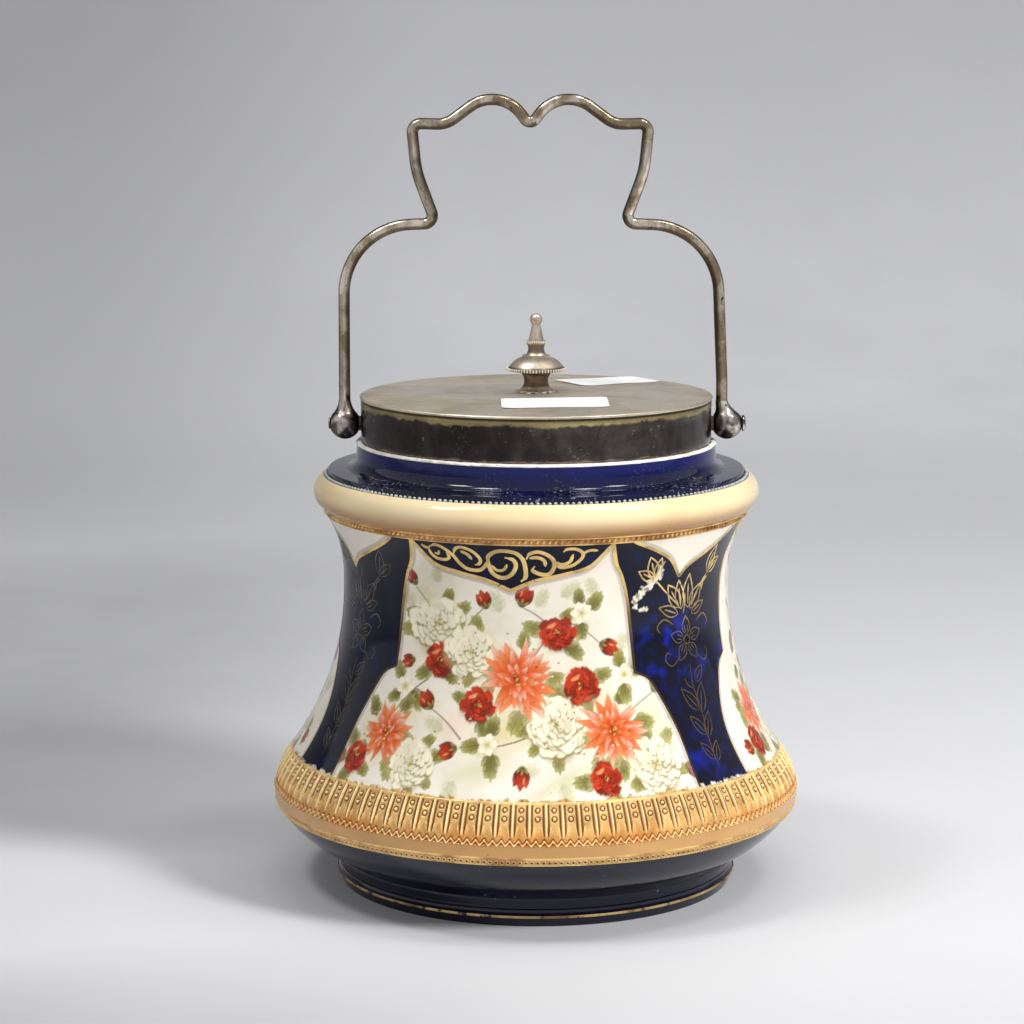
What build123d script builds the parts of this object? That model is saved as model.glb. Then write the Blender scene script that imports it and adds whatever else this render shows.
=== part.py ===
from build123d import *
import os
from math import radians, sin, sqrt

# Biscuit jar: a glazed earthenware jar with a plated mount cemented round its neck,
# a swing handle of bent wire, and a lift-off lid with a turned finial.
# Lengths are in millimetres. +Z is up, the origin is the centre of the foot on the table,
# the handle's two pivots lie along X, and the front of the jar faces -Y.

# Jar, outside, from the table up
foot_radius = 63.0
foot_height = 3.1
foot_draft = 1.2
foot_lip = 0.7
foot_ring_width = 6.2
foot_recess_depth = 5.5
cove_rise = 1.8
cove_curve_radius = 1.1
step_riser = 0.8
low_step_rise = 2.4
low_step_run = 1.0
high_step_rise = 4.0
high_step_run = 4.7
belly_radius = 83.0
under_rise = 12.3
under_curve_radius = 39.0
bead_line_height = 1.8
bead_line_inset = 1.5
tan_band_height = 3.8
tan_band_inset = 0.5
belt_height = 12.3
belt_top_inset = 5.6
belt_curve_radius = 28.0
belt_relief = 0.4
belt_foot_lip = 0.9
belt_top_lip = 0.5
rib_count = 102
rib_width = 0.9
rib_height = 0.45
rib_foot_rise = 1.9
rib_top_step = 0.07
lower_sweep_height = 52.4
waist_radius = 60.25
waist_height = 2.4
upper_sweep_height = 19.3
upper_flare = 5.2
bead_band_height = 2.2
bead_band_flare = 1.0
roll_section_radius = 5.6
roll_reach = 3.05
roll_ledge_reach = 2.5
pearl_ledge_width = 1.6
shoulder_step = 1.8
shoulder_fall = 0.5
shoulder_width = 8.9
neck_height = 7.5
neck_flare = 0.5
neck_fillet_radius = 3.5
spigot_height = 8.3
rim_fillet_radius = 1.6

# Jar, inside
jar_wall = 4.5
floor_thickness = 5.4
mouth_depth = 12.0
inner_shoulder_fillet = 6.0
inner_belly_drop = 2.2
inner_knee_run = 1.3
inner_knee_rise = 7.7
inner_knee_radius = 13.5
inner_floor_inset = 7.5

# Plated mount on the neck
collar_setback = 1.3
collar_wall = 0.8
collar_height = 13.5
cement_thickness = 1.3
cement_bead_height = 0.6
cement_bead_setback = 0.4
cement_bead_slope = 0.4
seat_ring_thickness = 0.7
seat_ring_lap = 3.6
cement_gap = 0.05

# Lid
lid_overlap = 0.3
lid_plate_thickness = 0.85
lid_dome = 0.95
lid_flat_margin = 3.0
lid_seat_gap = 0.05
flange_depth = 4.6
flange_wall = 0.8
flange_clearance = 0.5

# Finial and what holds it under the lid
finial_base_radius = 5.6
finial_base_height = 0.6
finial_waist_radius = 3.6
finial_waist_height = 3.4
finial_cup_radius = 4.9
finial_cup_height = 6.4
finial_rim_radius = 9.4
finial_rim_thickness = 1.3
finial_dome_rise = 3.0
finial_dome_radius = 9.4
finial_ledge_radius = 4.3
finial_ledge_thickness = 0.7
finial_neck_radius = 2.5
finial_neck_rise = 3.6
finial_neck_waist_rise = 2.2
finial_bead_radius = 3.4
finial_bead_thickness = 0.9
finial_spire_height = 5.2
finial_spire_base_radius = 2.3
finial_spire_top_radius = 1.25
finial_ball_radius = 1.85
stud_radius = 1.5
stud_length = 4.4
stud_gap = 0.05
washer_radius = 4.0
washer_thickness = 0.6
nut_across_flats = 5.6
nut_thickness = 2.2

# Handle and its pivots
pivot_height = 5.4
ball_radius = 4.7
ball_seat_depth = 0.65
ball_outer_flat_depth = 0.7
boss_radius = 2.3
boss_height = 0.6
pivot_gap = 0.05
pin_radius = 1.2
pin_head_radius = 2.2
pin_head_height = 1.25
wire_radius = 1.78
wire_offset = 0.6
socket_height = 7.2
socket_flare_radius = 3.0
socket_flare_height = 4.9
socket_flare_curve_radius = 9.0
spigot_pin_radius = 1.0
spigot_pin_length = 3.6
spigot_pin_gap = 0.03

# Handle outline: half-spans from its middle, and heights above the pivots. Use has pushed
# the bow to the left by bow_set, and the wire's ends with it by leg_set.
bow_set = 1.9
leg_set = 0.9
leg_foot_rise = 13.0
leg_foot_bend = 60.0
shoulder_span_inset = 1.15
shoulder_rise = 61.2
shoulder_bend = 21.5
elbow_span = 29.1
elbow_rise = 62.1
elbow_bend = 2.6
side_span = 35.1
side_rise = 78.3
side_bend = 30.0
corner_span = 36.45
corner_rise = 92.8
corner_bend = 2.6
scoop_span = 25.8
scoop_rise = 92.5
scoop_bend = 8.0
crest_span = 9.4
crest_rise = 104.6
crest_bend = 11.3
dip_rise = 91.9
dip_bend = 2.0

# Heights that follow, from the table
cove_z = foot_height + foot_lip
cove_top_z = cove_z + cove_rise
high_step_z = cove_top_z + low_step_rise
under_base_z = high_step_z + high_step_rise
bead_line_z = under_base_z + under_rise
tan_band_z = bead_line_z + bead_line_height
belt_z = tan_band_z + tan_band_height
belt_top_z = belt_z + belt_height
waist_z = belt_top_z + lower_sweep_height
waist_top_z = waist_z + waist_height
bead_band_z = waist_top_z + upper_sweep_height
roll_base_z = bead_band_z + bead_band_height
floor_z = foot_recess_depth + floor_thickness

# Radii that follow
bead_line_radius = belly_radius - bead_line_inset
tan_band_radius = belly_radius - tan_band_inset
belt_top_radius = belly_radius - belt_top_inset
panel_base_radius = belt_top_radius - belt_relief
bead_band_radius = waist_radius + upper_flare
roll_base_radius = bead_band_radius + bead_band_flare
roll_radius = roll_base_radius + roll_reach
roll_centre_radius = roll_radius - roll_section_radius
cove_radius = foot_radius - foot_lip
high_step_radius = cove_radius + low_step_run
under_base_radius = high_step_radius + high_step_run

# The belt's curve, which both lips lie on and the ribs' tops just under it
belt_foot_z = belt_z + belt_relief
belt_head_z = belt_top_z - belt_relief
belt_chord = sqrt(belt_top_inset**2 + (belt_head_z - belt_foot_z)**2)
belt_bow = sqrt(belt_curve_radius**2 - belt_chord**2 / 4) / belt_chord
belt_centre_radius = (belly_radius + belt_top_radius) / 2 - belt_bow * (belt_head_z - belt_foot_z)
belt_centre_z = (belt_foot_z + belt_head_z) / 2 - belt_bow * belt_top_inset

# The roll moulding, and the pearl ledge and shoulder above it
roll_centre_z = roll_base_z + sqrt(roll_section_radius**2 - (roll_base_radius - roll_centre_radius)**2)
roll_top_radius = roll_centre_radius + roll_ledge_reach
roll_top_z = roll_centre_z + sqrt(roll_section_radius**2 - roll_ledge_reach**2)
shoulder_radius = roll_top_radius - pearl_ledge_width
neck_radius = shoulder_radius - shoulder_width
shoulder_z = roll_top_z + shoulder_step
neck_ledge_z = shoulder_z + neck_height
rim_z = neck_ledge_z + spigot_height

# The mount: collar, cement and seat ring
collar_radius = neck_radius - collar_setback
collar_inner_radius = collar_radius - collar_wall
neck_spigot_radius = collar_inner_radius - cement_thickness
mouth_radius = neck_spigot_radius - jar_wall
collar_z = neck_ledge_z + cement_bead_height
collar_top_z = collar_z + collar_height
seat_ring_z = rim_z + cement_gap

# The lid
lid_radius = collar_radius + lid_overlap
lid_z = collar_top_z + lid_seat_gap
lid_edge_top_z = lid_z + lid_plate_thickness
lid_top_z = lid_edge_top_z + lid_dome
lid_under_top_z = lid_z + lid_dome
lid_flat_radius = lid_radius - lid_flat_margin
flange_radius = collar_inner_radius - flange_clearance

# The pivots and the handle
pivot_z = collar_z + pivot_height
ball_flat_x = collar_radius + boss_height + pivot_gap
pivot_x = ball_flat_x + ball_radius - ball_seat_depth
head_flat_x = pivot_x + ball_radius - ball_outer_flat_depth
right_wire_x = pivot_x - wire_offset - leg_set
left_wire_x = pivot_x - wire_offset + leg_set
socket_top_z = pivot_z + socket_height


def turned(*lines):
    """Turn a closed outline, drawn as radius across and height up, about the Z axis."""
    edges = [edge for line in lines for edge in line.edges()]
    return revolve(Plane.XZ * make_face(edges), axis=Axis.Z)


def turned_on_pivot(*lines):
    """Turn a closed outline, drawn as distance out and radius up, round the right-hand pivot."""
    edges = [edge for line in lines for edge in line.edges()]
    face = Plane.XZ * make_face(edges)
    return revolve(face, axis=Axis.X).translate((0, 0, pivot_z))


def ring(inner, outer, bottom, top):
    """A plain ring round the jar's axis."""
    return turned(Polyline((inner, bottom), (outer, bottom), (outer, top), (inner, top), close=True))


def cap_radius(reach, rise):
    """Radius of the sphere whose cap has this reach from its axis and this rise."""
    return (reach**2 + rise**2) / (2 * rise)


def left_hand(shape):
    """The same piece on the other side of the jar."""
    return mirror(shape, about=Plane.YZ)


def stepped_underside():
    """The side of the foot ring, the cove over it and the two step mouldings under the belly."""
    return [
        Polyline((foot_radius - foot_draft, 0), (foot_radius, foot_height), (cove_radius, cove_z)),
        RadiusArc((cove_radius, cove_z), (cove_radius, cove_top_z), cove_curve_radius),
        Polyline(
            (cove_radius, cove_top_z),
            (cove_radius, cove_top_z + step_riser),
            (high_step_radius, high_step_z),
            (high_step_radius, high_step_z + step_riser),
            (under_base_radius, under_base_z),
        ),
    ]


def belt_spot(height, depth):
    """The point of the belt's section at a height from the table, at a depth under its lips."""
    reach = belt_curve_radius - depth
    return (belt_centre_radius + sqrt(reach**2 - (height - belt_centre_z)**2), height)


def belt_ground():
    """The belt's section: a lip at its foot, the sunk ground between the ribs, and a lip at its top."""
    foot_lip_z = belt_foot_z + belt_foot_lip
    top_lip_z = belt_head_z - belt_top_lip
    lower = RadiusArc(belt_spot(belt_foot_z, 0), belt_spot(foot_lip_z, 0), -belt_curve_radius)
    ground_foot = belt_spot(foot_lip_z, rib_height)
    ground_top = belt_spot(top_lip_z, rib_height)
    ground = RadiusArc(ground_foot, ground_top, rib_height - belt_curve_radius)
    upper = RadiusArc(belt_spot(top_lip_z, 0), belt_spot(belt_head_z, 0), -belt_curve_radius)
    return [lower, Line(lower @ 1, ground_foot), ground, Line(ground_top, upper @ 0), upper]


def belt_rib():
    """One upright rib of the belt, rooted in the wall behind it."""
    foot_z = belt_foot_z + rib_foot_rise
    top_z = belt_head_z - belt_top_lip / 2
    root = 2 * rib_height
    outer = RadiusArc(
        belt_spot(foot_z, rib_top_step), belt_spot(top_z, rib_top_step), rib_top_step - belt_curve_radius
    )
    inner = RadiusArc(belt_spot(top_z, root), belt_spot(foot_z, root), belt_curve_radius - root)
    outline = [outer, Line(outer @ 1, inner @ 0), inner, Line(inner @ 1, outer @ 0)]
    return extrude(Plane.XZ * make_face(outline), rib_width / 2, both=True)


def jar_outside():
    """The outside of the jar from the foot to the rim, as joined lines and arcs."""
    lines = stepped_underside()
    lines.append(RadiusArc(lines[-1] @ 1, (bead_line_radius, bead_line_z), -under_curve_radius))
    lines.append(
        Polyline(
            lines[-1] @ 1,
            (tan_band_radius, tan_band_z),
            (belly_radius - belt_relief, belt_z),
            (belly_radius, belt_z + belt_relief),
        )
    )
    lines += belt_ground()
    lines.append(Line(lines[-1] @ 1, (panel_base_radius, belt_top_z)))
    lines.append(TangentArc((waist_radius, waist_z), (panel_base_radius, belt_top_z), tangent=(0, -1)))
    lines.append(Line((waist_radius, waist_z), (waist_radius, waist_top_z)))
    lines.append(TangentArc((waist_radius, waist_top_z), (bead_band_radius, bead_band_z), tangent=(0, 1)))
    lines.append(Line((bead_band_radius, bead_band_z), (roll_base_radius, roll_base_z)))
    lines.append(
        ThreePointArc(
            (roll_base_radius, roll_base_z), (roll_radius, roll_centre_z), (roll_top_radius, roll_top_z)
        )
    )
    lines.append(Line((roll_top_radius, roll_top_z), (shoulder_radius, roll_top_z)))
    lines.append(Line((shoulder_radius, roll_top_z), (shoulder_radius, shoulder_z)))
    lines.append(
        FilletPolyline(
            (shoulder_radius, shoulder_z),
            (neck_radius + neck_flare, shoulder_z + shoulder_fall),
            (neck_radius, neck_ledge_z),
            radius=neck_fillet_radius,
        )
    )
    lines.append(Line((neck_radius, neck_ledge_z), (neck_spigot_radius, neck_ledge_z)))
    return lines


def sweep_offset_radius(flare, height, drop):
    """Radius of the inner wall beside an outer sweep, one wall inside it, at a height from the waist."""
    sweep_radius = (flare**2 + height**2) / (2 * flare)
    return waist_radius + sweep_radius - sqrt((sweep_radius + jar_wall)**2 - drop**2)


def jar_inside():
    """The inside of the jar from the rim down to the middle of the floor."""
    inner_waist = waist_radius - jar_wall
    inner_band = sweep_offset_radius(upper_flare, upper_sweep_height, upper_sweep_height)
    lower_flare = panel_base_radius - waist_radius
    inner_belt = sweep_offset_radius(lower_flare, lower_sweep_height, lower_sweep_height)
    inner_belly = (belly_radius - jar_wall, belt_z - inner_belly_drop)
    knee = (under_base_radius + inner_knee_run, under_base_z + inner_knee_rise)
    floor_edge = (under_base_radius - inner_floor_inset, floor_z)
    return [
        FilletPolyline(
            (mouth_radius, rim_z - rim_fillet_radius),
            (mouth_radius, rim_z - mouth_depth),
            (inner_band, roll_centre_z),
            (inner_band, bead_band_z),
            radius=inner_shoulder_fillet,
        ),
        TangentArc((inner_waist, waist_top_z), (inner_band, bead_band_z), tangent=(0, 1)),
        Line((inner_waist, waist_top_z), (inner_waist, waist_z)),
        TangentArc((inner_waist, waist_z), (inner_belt, belt_top_z), tangent=(0, -1)),
        RadiusArc((inner_belt, belt_top_z), inner_belly, belt_curve_radius),
        RadiusArc(inner_belly, knee, inner_knee_radius),
        Polyline(knee, floor_edge, (0, floor_z)),
    ]


def jar_body():
    """The earthenware jar: foot ring, stepped underside, belted belly, waist, roll and neck."""
    foot_inner = foot_radius - foot_ring_width
    rim_outer = neck_spigot_radius - rim_fillet_radius
    rim_inner = mouth_radius + rim_fillet_radius
    rim_shoulder = rim_z - rim_fillet_radius
    quarter = rim_fillet_radius * sin(radians(45))
    rim = [
        Line((neck_spigot_radius, neck_ledge_z), (neck_spigot_radius, rim_shoulder)),
        ThreePointArc(
            (neck_spigot_radius, rim_shoulder),
            (rim_outer + quarter, rim_shoulder + quarter),
            (rim_outer, rim_z),
        ),
        Line((rim_outer, rim_z), (rim_inner, rim_z)),
        ThreePointArc(
            (rim_inner, rim_z),
            (rim_inner - quarter, rim_shoulder + quarter),
            (mouth_radius, rim_shoulder),
        ),
    ]
    base = Polyline(
        (0, floor_z),
        (0, foot_recess_depth),
        (foot_inner - foot_draft, foot_recess_depth),
        (foot_inner, 0),
        (foot_radius - foot_draft, 0),
    )
    jar = turned(*jar_outside(), *rim, *jar_inside(), base)
    return jar + PolarLocations(0, rib_count) * belt_rib()


def bedding_plaster():
    """The white cement that holds the collar: a thin sleeve round the neck, with a bead at its foot."""
    inner = neck_spigot_radius + cement_gap
    sleeve = collar_inner_radius - cement_gap
    bead = neck_radius - cement_bead_setback
    bottom = neck_ledge_z + cement_gap
    bead_top = collar_z - cement_gap
    return turned(
        Polyline(
            (inner, bottom),
            (bead, bottom),
            (bead - cement_bead_slope, bead_top),
            (sleeve, bead_top),
            (sleeve, rim_z - rim_fillet_radius),
            (inner, rim_z - rim_fillet_radius),
            close=True,
        )
    )


def collar_band():
    """The plated collar round the neck, drilled on each side for a pivot pin."""
    band = ring(collar_inner_radius, collar_radius, collar_z, collar_top_z)
    drill = Cylinder(pin_radius + pivot_gap, 2 * collar_radius + 2, rotation=(0, 90, 0))
    return band - Pos(0, 0, pivot_z) * drill


def collar_seat_ring():
    """The ledge soldered inside the collar, which caps the jar's rim."""
    outer = collar_inner_radius - cement_gap
    inner = outer - seat_ring_lap
    return ring(inner, outer, seat_ring_z, seat_ring_z + seat_ring_thickness)


def pivot_boss():
    """The round pad between the collar and the handle's ball, hollowed to lie on the collar."""
    pad = Pos(collar_radius, 0, pivot_z) * Cylinder(boss_radius, 2 * boss_height, rotation=(0, 90, 0))
    core = Pos(0, 0, pivot_z) * Cylinder(collar_radius + cement_gap, 4 * boss_radius)
    hole = Pos(collar_radius, 0, pivot_z) * Cylinder(
        pin_radius + pivot_gap, 4 * boss_height, rotation=(0, 90, 0)
    )
    return pad - core - hole


def pivot_pin():
    """The pin with a domed head that the ball turns on, riveted through the boss and the collar."""
    head_x = head_flat_x + pivot_gap
    tip_x = sqrt(collar_inner_radius**2 - pin_radius**2) + cement_gap
    return turned_on_pivot(
        Polyline(
            (head_x + pin_head_height, 0),
            (tip_x, 0),
            (tip_x, pin_radius),
            (head_x, pin_radius),
            (head_x, pin_head_radius),
        ),
        RadiusArc(
            (head_x, pin_head_radius),
            (head_x + pin_head_height, 0),
            cap_radius(pin_head_radius, pin_head_height),
        ),
    )


def handle_ball(wire_x):
    """A right-hand ball of the handle, with the flared socket that takes the wire's end at wire_x."""
    flare_top = socket_top_z
    flare_foot = (socket_flare_radius, flare_top - socket_flare_height)
    flare = turned(
        Polyline((wire_radius, flare_top), (0, flare_top), (0, pivot_z), (socket_flare_radius, pivot_z)),
        Line((socket_flare_radius, pivot_z), flare_foot),
        RadiusArc(flare_foot, (wire_radius, flare_top), socket_flare_curve_radius),
    )
    flare = Pos(wire_x, 0, 0) * flare
    ball = Pos(pivot_x, 0, pivot_z) * Sphere(ball_radius) + flare
    reach = 2 * ball_radius
    inner_cut = Pos(ball_flat_x - reach / 2, 0, pivot_z) * Box(reach, reach, 2 * reach)
    outer_cut = Pos(head_flat_x + reach / 2, 0, pivot_z) * Box(reach, reach, 2 * reach)
    bore = Pos(pivot_x, 0, pivot_z) * Cylinder(pin_radius + pivot_gap, 3 * ball_radius, rotation=(0, 90, 0))
    socket_depth = spigot_pin_length + spigot_pin_gap
    socket = Pos(wire_x, 0, flare_top - socket_depth / 2) * Cylinder(
        spigot_pin_radius + spigot_pin_gap, socket_depth
    )
    return ball - inner_cut - outer_cut - bore - socket


def handle_bail():
    """The swing handle: one length of wire bent in a plane, with a turned-down pin at each end."""
    bow = [
        (pivot_x - wire_offset - shoulder_span_inset, shoulder_rise, shoulder_bend),
        (elbow_span, elbow_rise, elbow_bend),
        (side_span, side_rise, side_bend),
        (corner_span, corner_rise, corner_bend),
        (scoop_span, scoop_rise, scoop_bend),
        (crest_span, crest_rise, crest_bend),
    ]
    right = [(x - bow_set, 0, pivot_z + rise) for x, rise, bend in bow]
    left = [(-x - bow_set, 0, pivot_z + rise) for x, rise, bend in reversed(bow)]
    leg_foot_z = pivot_z + leg_foot_rise
    right_leg = [(right_wire_x, 0, socket_top_z), (right_wire_x, 0, leg_foot_z)]
    left_leg = [(-left_wire_x, 0, leg_foot_z), (-left_wire_x, 0, socket_top_z)]
    dip = (-bow_set, 0, pivot_z + dip_rise)
    bow_bends = [bend for x, rise, bend in bow]
    bends = [leg_foot_bend, *bow_bends, dip_bend, *reversed(bow_bends), leg_foot_bend]
    path = FilletPolyline(*right_leg, *right, dip, *left, *left_leg, radius=bends)
    section = Plane(origin=path @ 0, z_dir=path % 0) * Circle(wire_radius)
    wire = sweep(section, path=path)
    length_in = spigot_pin_length - spigot_pin_gap
    pin = Pos(0, 0, socket_top_z - length_in / 2 + wire_radius / 2) * Cylinder(
        spigot_pin_radius, length_in + wire_radius
    )
    return wire + Pos(right_wire_x, 0, 0) * pin + Pos(-left_wire_x, 0, 0) * pin


def lid_plate():
    """The lid: a slightly domed plate, flat where it rests on the collar, drilled for the finial."""
    hole = stud_radius + stud_gap
    plate = turned(
        RadiusArc((0, lid_top_z), (lid_radius, lid_edge_top_z), cap_radius(lid_radius, lid_dome)),
        Polyline((lid_radius, lid_edge_top_z), (lid_radius, lid_z), (lid_flat_radius, lid_z)),
        RadiusArc((lid_flat_radius, lid_z), (0, lid_under_top_z), -cap_radius(lid_flat_radius, lid_dome)),
        Line((0, lid_under_top_z), (0, lid_top_z)),
    )
    return plate - Pos(0, 0, lid_z) * Cylinder(hole, 4 * lid_plate_thickness + 4 * lid_dome)


def lid_flange():
    """The ring soldered under the lid, which finds the collar's bore."""
    return ring(flange_radius - flange_wall, flange_radius, lid_z - flange_depth, lid_z)


def finial():
    """The turned finial with its stud: base, waist, cup, domed rim, neck, spire and ball."""
    base_z = lid_top_z + stud_gap
    waist_low_z = base_z + finial_waist_height
    cup_z = base_z + finial_cup_height
    rim_top_z = cup_z + finial_rim_thickness
    ledge_z = rim_top_z + finial_dome_rise
    ledge_top_z = ledge_z + finial_ledge_thickness
    bead_z = ledge_top_z + finial_neck_rise
    bead_top_z = bead_z + finial_bead_thickness
    spire_top_z = bead_top_z + finial_spire_height
    ball_z = spire_top_z + sqrt(finial_ball_radius**2 - finial_spire_top_radius**2)
    rim_inner = finial_rim_radius - finial_rim_thickness / 2
    return turned(
        Polyline(
            (0, base_z - stud_length),
            (stud_radius, base_z - stud_length),
            (stud_radius, base_z),
            (finial_base_radius, base_z),
            (finial_base_radius, base_z + finial_base_height),
        ),
        ThreePointArc(
            (finial_base_radius, base_z + finial_base_height),
            (finial_waist_radius, waist_low_z),
            (finial_cup_radius, cup_z),
        ),
        Line((finial_cup_radius, cup_z), (rim_inner, cup_z)),
        ThreePointArc(
            (rim_inner, cup_z),
            (finial_rim_radius, cup_z + finial_rim_thickness / 2),
            (rim_inner, rim_top_z),
        ),
        RadiusArc((rim_inner, rim_top_z), (finial_ledge_radius, ledge_z), -finial_dome_radius),
        Polyline(
            (finial_ledge_radius, ledge_z),
            (finial_ledge_radius, ledge_top_z),
            (finial_neck_radius + finial_ledge_thickness, ledge_top_z),
        ),
        ThreePointArc(
            (finial_neck_radius + finial_ledge_thickness, ledge_top_z),
            (finial_neck_radius, ledge_top_z + finial_neck_waist_rise),
            (finial_bead_radius - finial_bead_thickness / 2, bead_z),
        ),
        ThreePointArc(
            (finial_bead_radius - finial_bead_thickness / 2, bead_z),
            (finial_bead_radius, bead_z + finial_bead_thickness / 2),
            (finial_bead_radius - finial_bead_thickness / 2, bead_top_z),
        ),
        Polyline(
            (finial_bead_radius - finial_bead_thickness / 2, bead_top_z),
            (finial_spire_base_radius, bead_top_z),
            (finial_spire_top_radius, spire_top_z),
        ),
        ThreePointArc(
            (finial_spire_top_radius, spire_top_z),
            (finial_ball_radius, ball_z),
            (0, ball_z + finial_ball_radius),
        ),
        Line((0, ball_z + finial_ball_radius), (0, base_z - stud_length)),
    )


def finial_washer():
    """The washer under the lid."""
    top = lid_under_top_z - stud_gap
    return ring(stud_radius + stud_gap, washer_radius, top - washer_thickness, top)


def finial_nut():
    """The square nut that draws the finial down on the lid."""
    top = lid_under_top_z - washer_thickness - 2 * stud_gap
    block = Pos(0, 0, top - nut_thickness / 2) * Box(nut_across_flats, nut_across_flats, nut_thickness)
    bore = Pos(0, 0, top - nut_thickness / 2) * Cylinder(stud_radius + stud_gap, 2 * nut_thickness)
    return block - bore


def main():
    """Write each piece to its own file."""
    pieces = {
        "jar_body": jar_body(),
        "bedding_plaster": bedding_plaster(),
        "collar_band": collar_band(),
        "collar_seat_ring": collar_seat_ring(),
        "pivot_boss_right": pivot_boss(),
        "pivot_boss_left": left_hand(pivot_boss()),
        "pivot_pin_right": pivot_pin(),
        "pivot_pin_left": left_hand(pivot_pin()),
        "handle_ball_right": handle_ball(right_wire_x),
        "handle_ball_left": left_hand(handle_ball(left_wire_x)),
        "handle_bail": handle_bail(),
        "lid_plate": lid_plate(),
        "lid_flange": lid_flange(),
        "finial": finial(),
        "finial_washer": finial_washer(),
        "finial_nut": finial_nut(),
    }
    os.makedirs("parts", exist_ok=True)
    for name, piece in pieces.items():
        export_step(piece, f"parts/{name}.step")


main()
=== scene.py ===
"""Dresses the plated biscuit jar on its CAD frame: glaze, print, gilding, worn plate, labels and the stage."""

from math import cos, hypot, pi, radians, sin, sqrt

import bpy
import numpy as np
from bpy.props import FloatProperty, FloatVectorProperty, IntProperty, PointerProperty
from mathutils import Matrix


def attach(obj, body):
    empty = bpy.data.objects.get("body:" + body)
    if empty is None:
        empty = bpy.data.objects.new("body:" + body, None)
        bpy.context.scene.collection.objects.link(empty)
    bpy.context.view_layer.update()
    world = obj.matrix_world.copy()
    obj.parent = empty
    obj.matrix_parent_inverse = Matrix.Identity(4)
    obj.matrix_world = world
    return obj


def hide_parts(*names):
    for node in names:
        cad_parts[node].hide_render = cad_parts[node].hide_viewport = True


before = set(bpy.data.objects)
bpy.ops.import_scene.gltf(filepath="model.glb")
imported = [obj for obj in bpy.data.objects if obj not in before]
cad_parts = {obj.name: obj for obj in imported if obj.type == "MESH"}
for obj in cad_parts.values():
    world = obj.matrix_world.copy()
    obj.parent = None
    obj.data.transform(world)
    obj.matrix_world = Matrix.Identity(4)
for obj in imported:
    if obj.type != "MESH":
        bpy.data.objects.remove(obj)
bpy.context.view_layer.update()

bl_info = {
    "name": "Biscuit Jar Looks",
    "version": (1, 0, 0),
    "blender": (4, 5, 0),
    "location": "View3D > Sidebar > Biscuit Jar",
    "description": "Glaze, print, gilding, worn plate, labels and stage for a plated biscuit jar",
    "category": "Object",
}

MM = 0.001
POTTERY = ("jar", "glazed_earthenware", "jar_body")
GLAZE_SEGMENTS = 288
# The angles in degrees from which an edge stays sharp.
FINIAL_CREASE, CREASE, BALL_CREASE, METAL_CREASE, SOFT_CREASE = 34.0, 38.0, 40.0, 50.0, 60.0
ON_AXIS = 1e-6


def linear(red, green, blue):
    """A colour written as on a screen, 0 to 255, in linear light."""
    parts = np.array((red, green, blue)) / 255
    return tuple(float(c) for c in np.where(parts <= 0.04045, parts / 12.92, ((parts + 0.055) / 1.055) ** 2.4))


def colour_property(name, description, rgb):
    return FloatVectorProperty(
        name=name, description=description, subtype="COLOR", size=3, min=0, max=1, default=linear(*rgb)
    )


def count_property(name, description, count):
    return IntProperty(name=name, description=description, default=count, min=24, max=600)


def length_property(name, description, millimetres):
    return FloatProperty(name=name, description=description, default=millimetres * MM, min=0, unit="LENGTH")


class JarGlazeSettings(bpy.types.PropertyGroup):
    """Colours and counts of the glazed jar."""

    cobalt: colour_property("Cobalt", "Dark blue glaze of neck, pilasters and underside", (7, 9, 30))
    # On the printed wall this blue's pools are partly painted light: they fade towards the jar's left side.
    cobalt_light: colour_property("Cobalt light", "Blue where the glaze lies thin", (8, 36, 158))
    cream: colour_property("Cream", "Glaze of the roll moulding", (238, 218, 174))
    cream_warm: colour_property("Warm cream", "Darker patches of the roll's glaze", (228, 196, 142))
    tan: colour_property("Tan", "Satin band under the belt", (206, 158, 98))
    ivory: colour_property("Ivory", "Ground of the printed panels and the inside", (240, 235, 222))
    pearl: colour_property("Pearl", "Row of small pearls on the shoulder", (196, 198, 196))
    pearl_count: count_property("Pearls", "Pearls round the shoulder", 236)
    slant_count: count_property("Slanted beads", "Beads in the gilt band over the panels", 232)
    ringlet_count: count_property("Ringlets", "Small rings in the gilt line under the tan band", 295)
    rib_count: IntProperty(name="Belt ribs", description="Ribs of the moulded belt", default=102, min=12, max=240)


class JarGiltSettings(bpy.types.PropertyGroup):
    """Colours and widths of the gilding."""

    gold: colour_property("Gold", "Bright gilding", (244, 210, 138))
    bronze: colour_property("Bronze", "Gilding where it is thin and brown", (112, 84, 52))
    ochre: colour_property("Ochre", "Moulded belt", (244, 210, 136))
    # This colour is the painted shade laid in the belt's hollows.
    belt_hollow_shade: colour_property("Ember", "Hollows of the belt", (124, 62, 18))
    outline_width: length_property("Outline width", "Gilt line round the pilasters", 1.35)
    scroll_width: length_property("Scroll width", "Scrolls over the panels", 1.25)
    sprig_width: length_property("Sprig width", "Fine flower lines on the pilasters", 0.42)


class JarPlateSettings(bpy.types.PropertyGroup):
    """Colours of the plated mount."""

    silver: colour_property("Silver", "Worn plate of lid and finial", (236, 224, 206))
    tarnish: colour_property("Tarnish", "Brown and olive clouds on the plate", (150, 138, 108))
    brass: colour_property("Brass", "Bare metal along the collar's top", (176, 160, 112))
    soot: colour_property("Soot", "Dark tarnish of the collar and balls", (50, 45, 44))
    label_thickness: length_property("Label thickness", "Paper labels on the lid", 0.12)


def glaze():
    return bpy.context.scene.biscuit_jar_glaze


def gilt():
    return bpy.context.scene.biscuit_jar_gilt


def plate():
    return bpy.context.scene.biscuit_jar_plate


# ---- shapes

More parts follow.
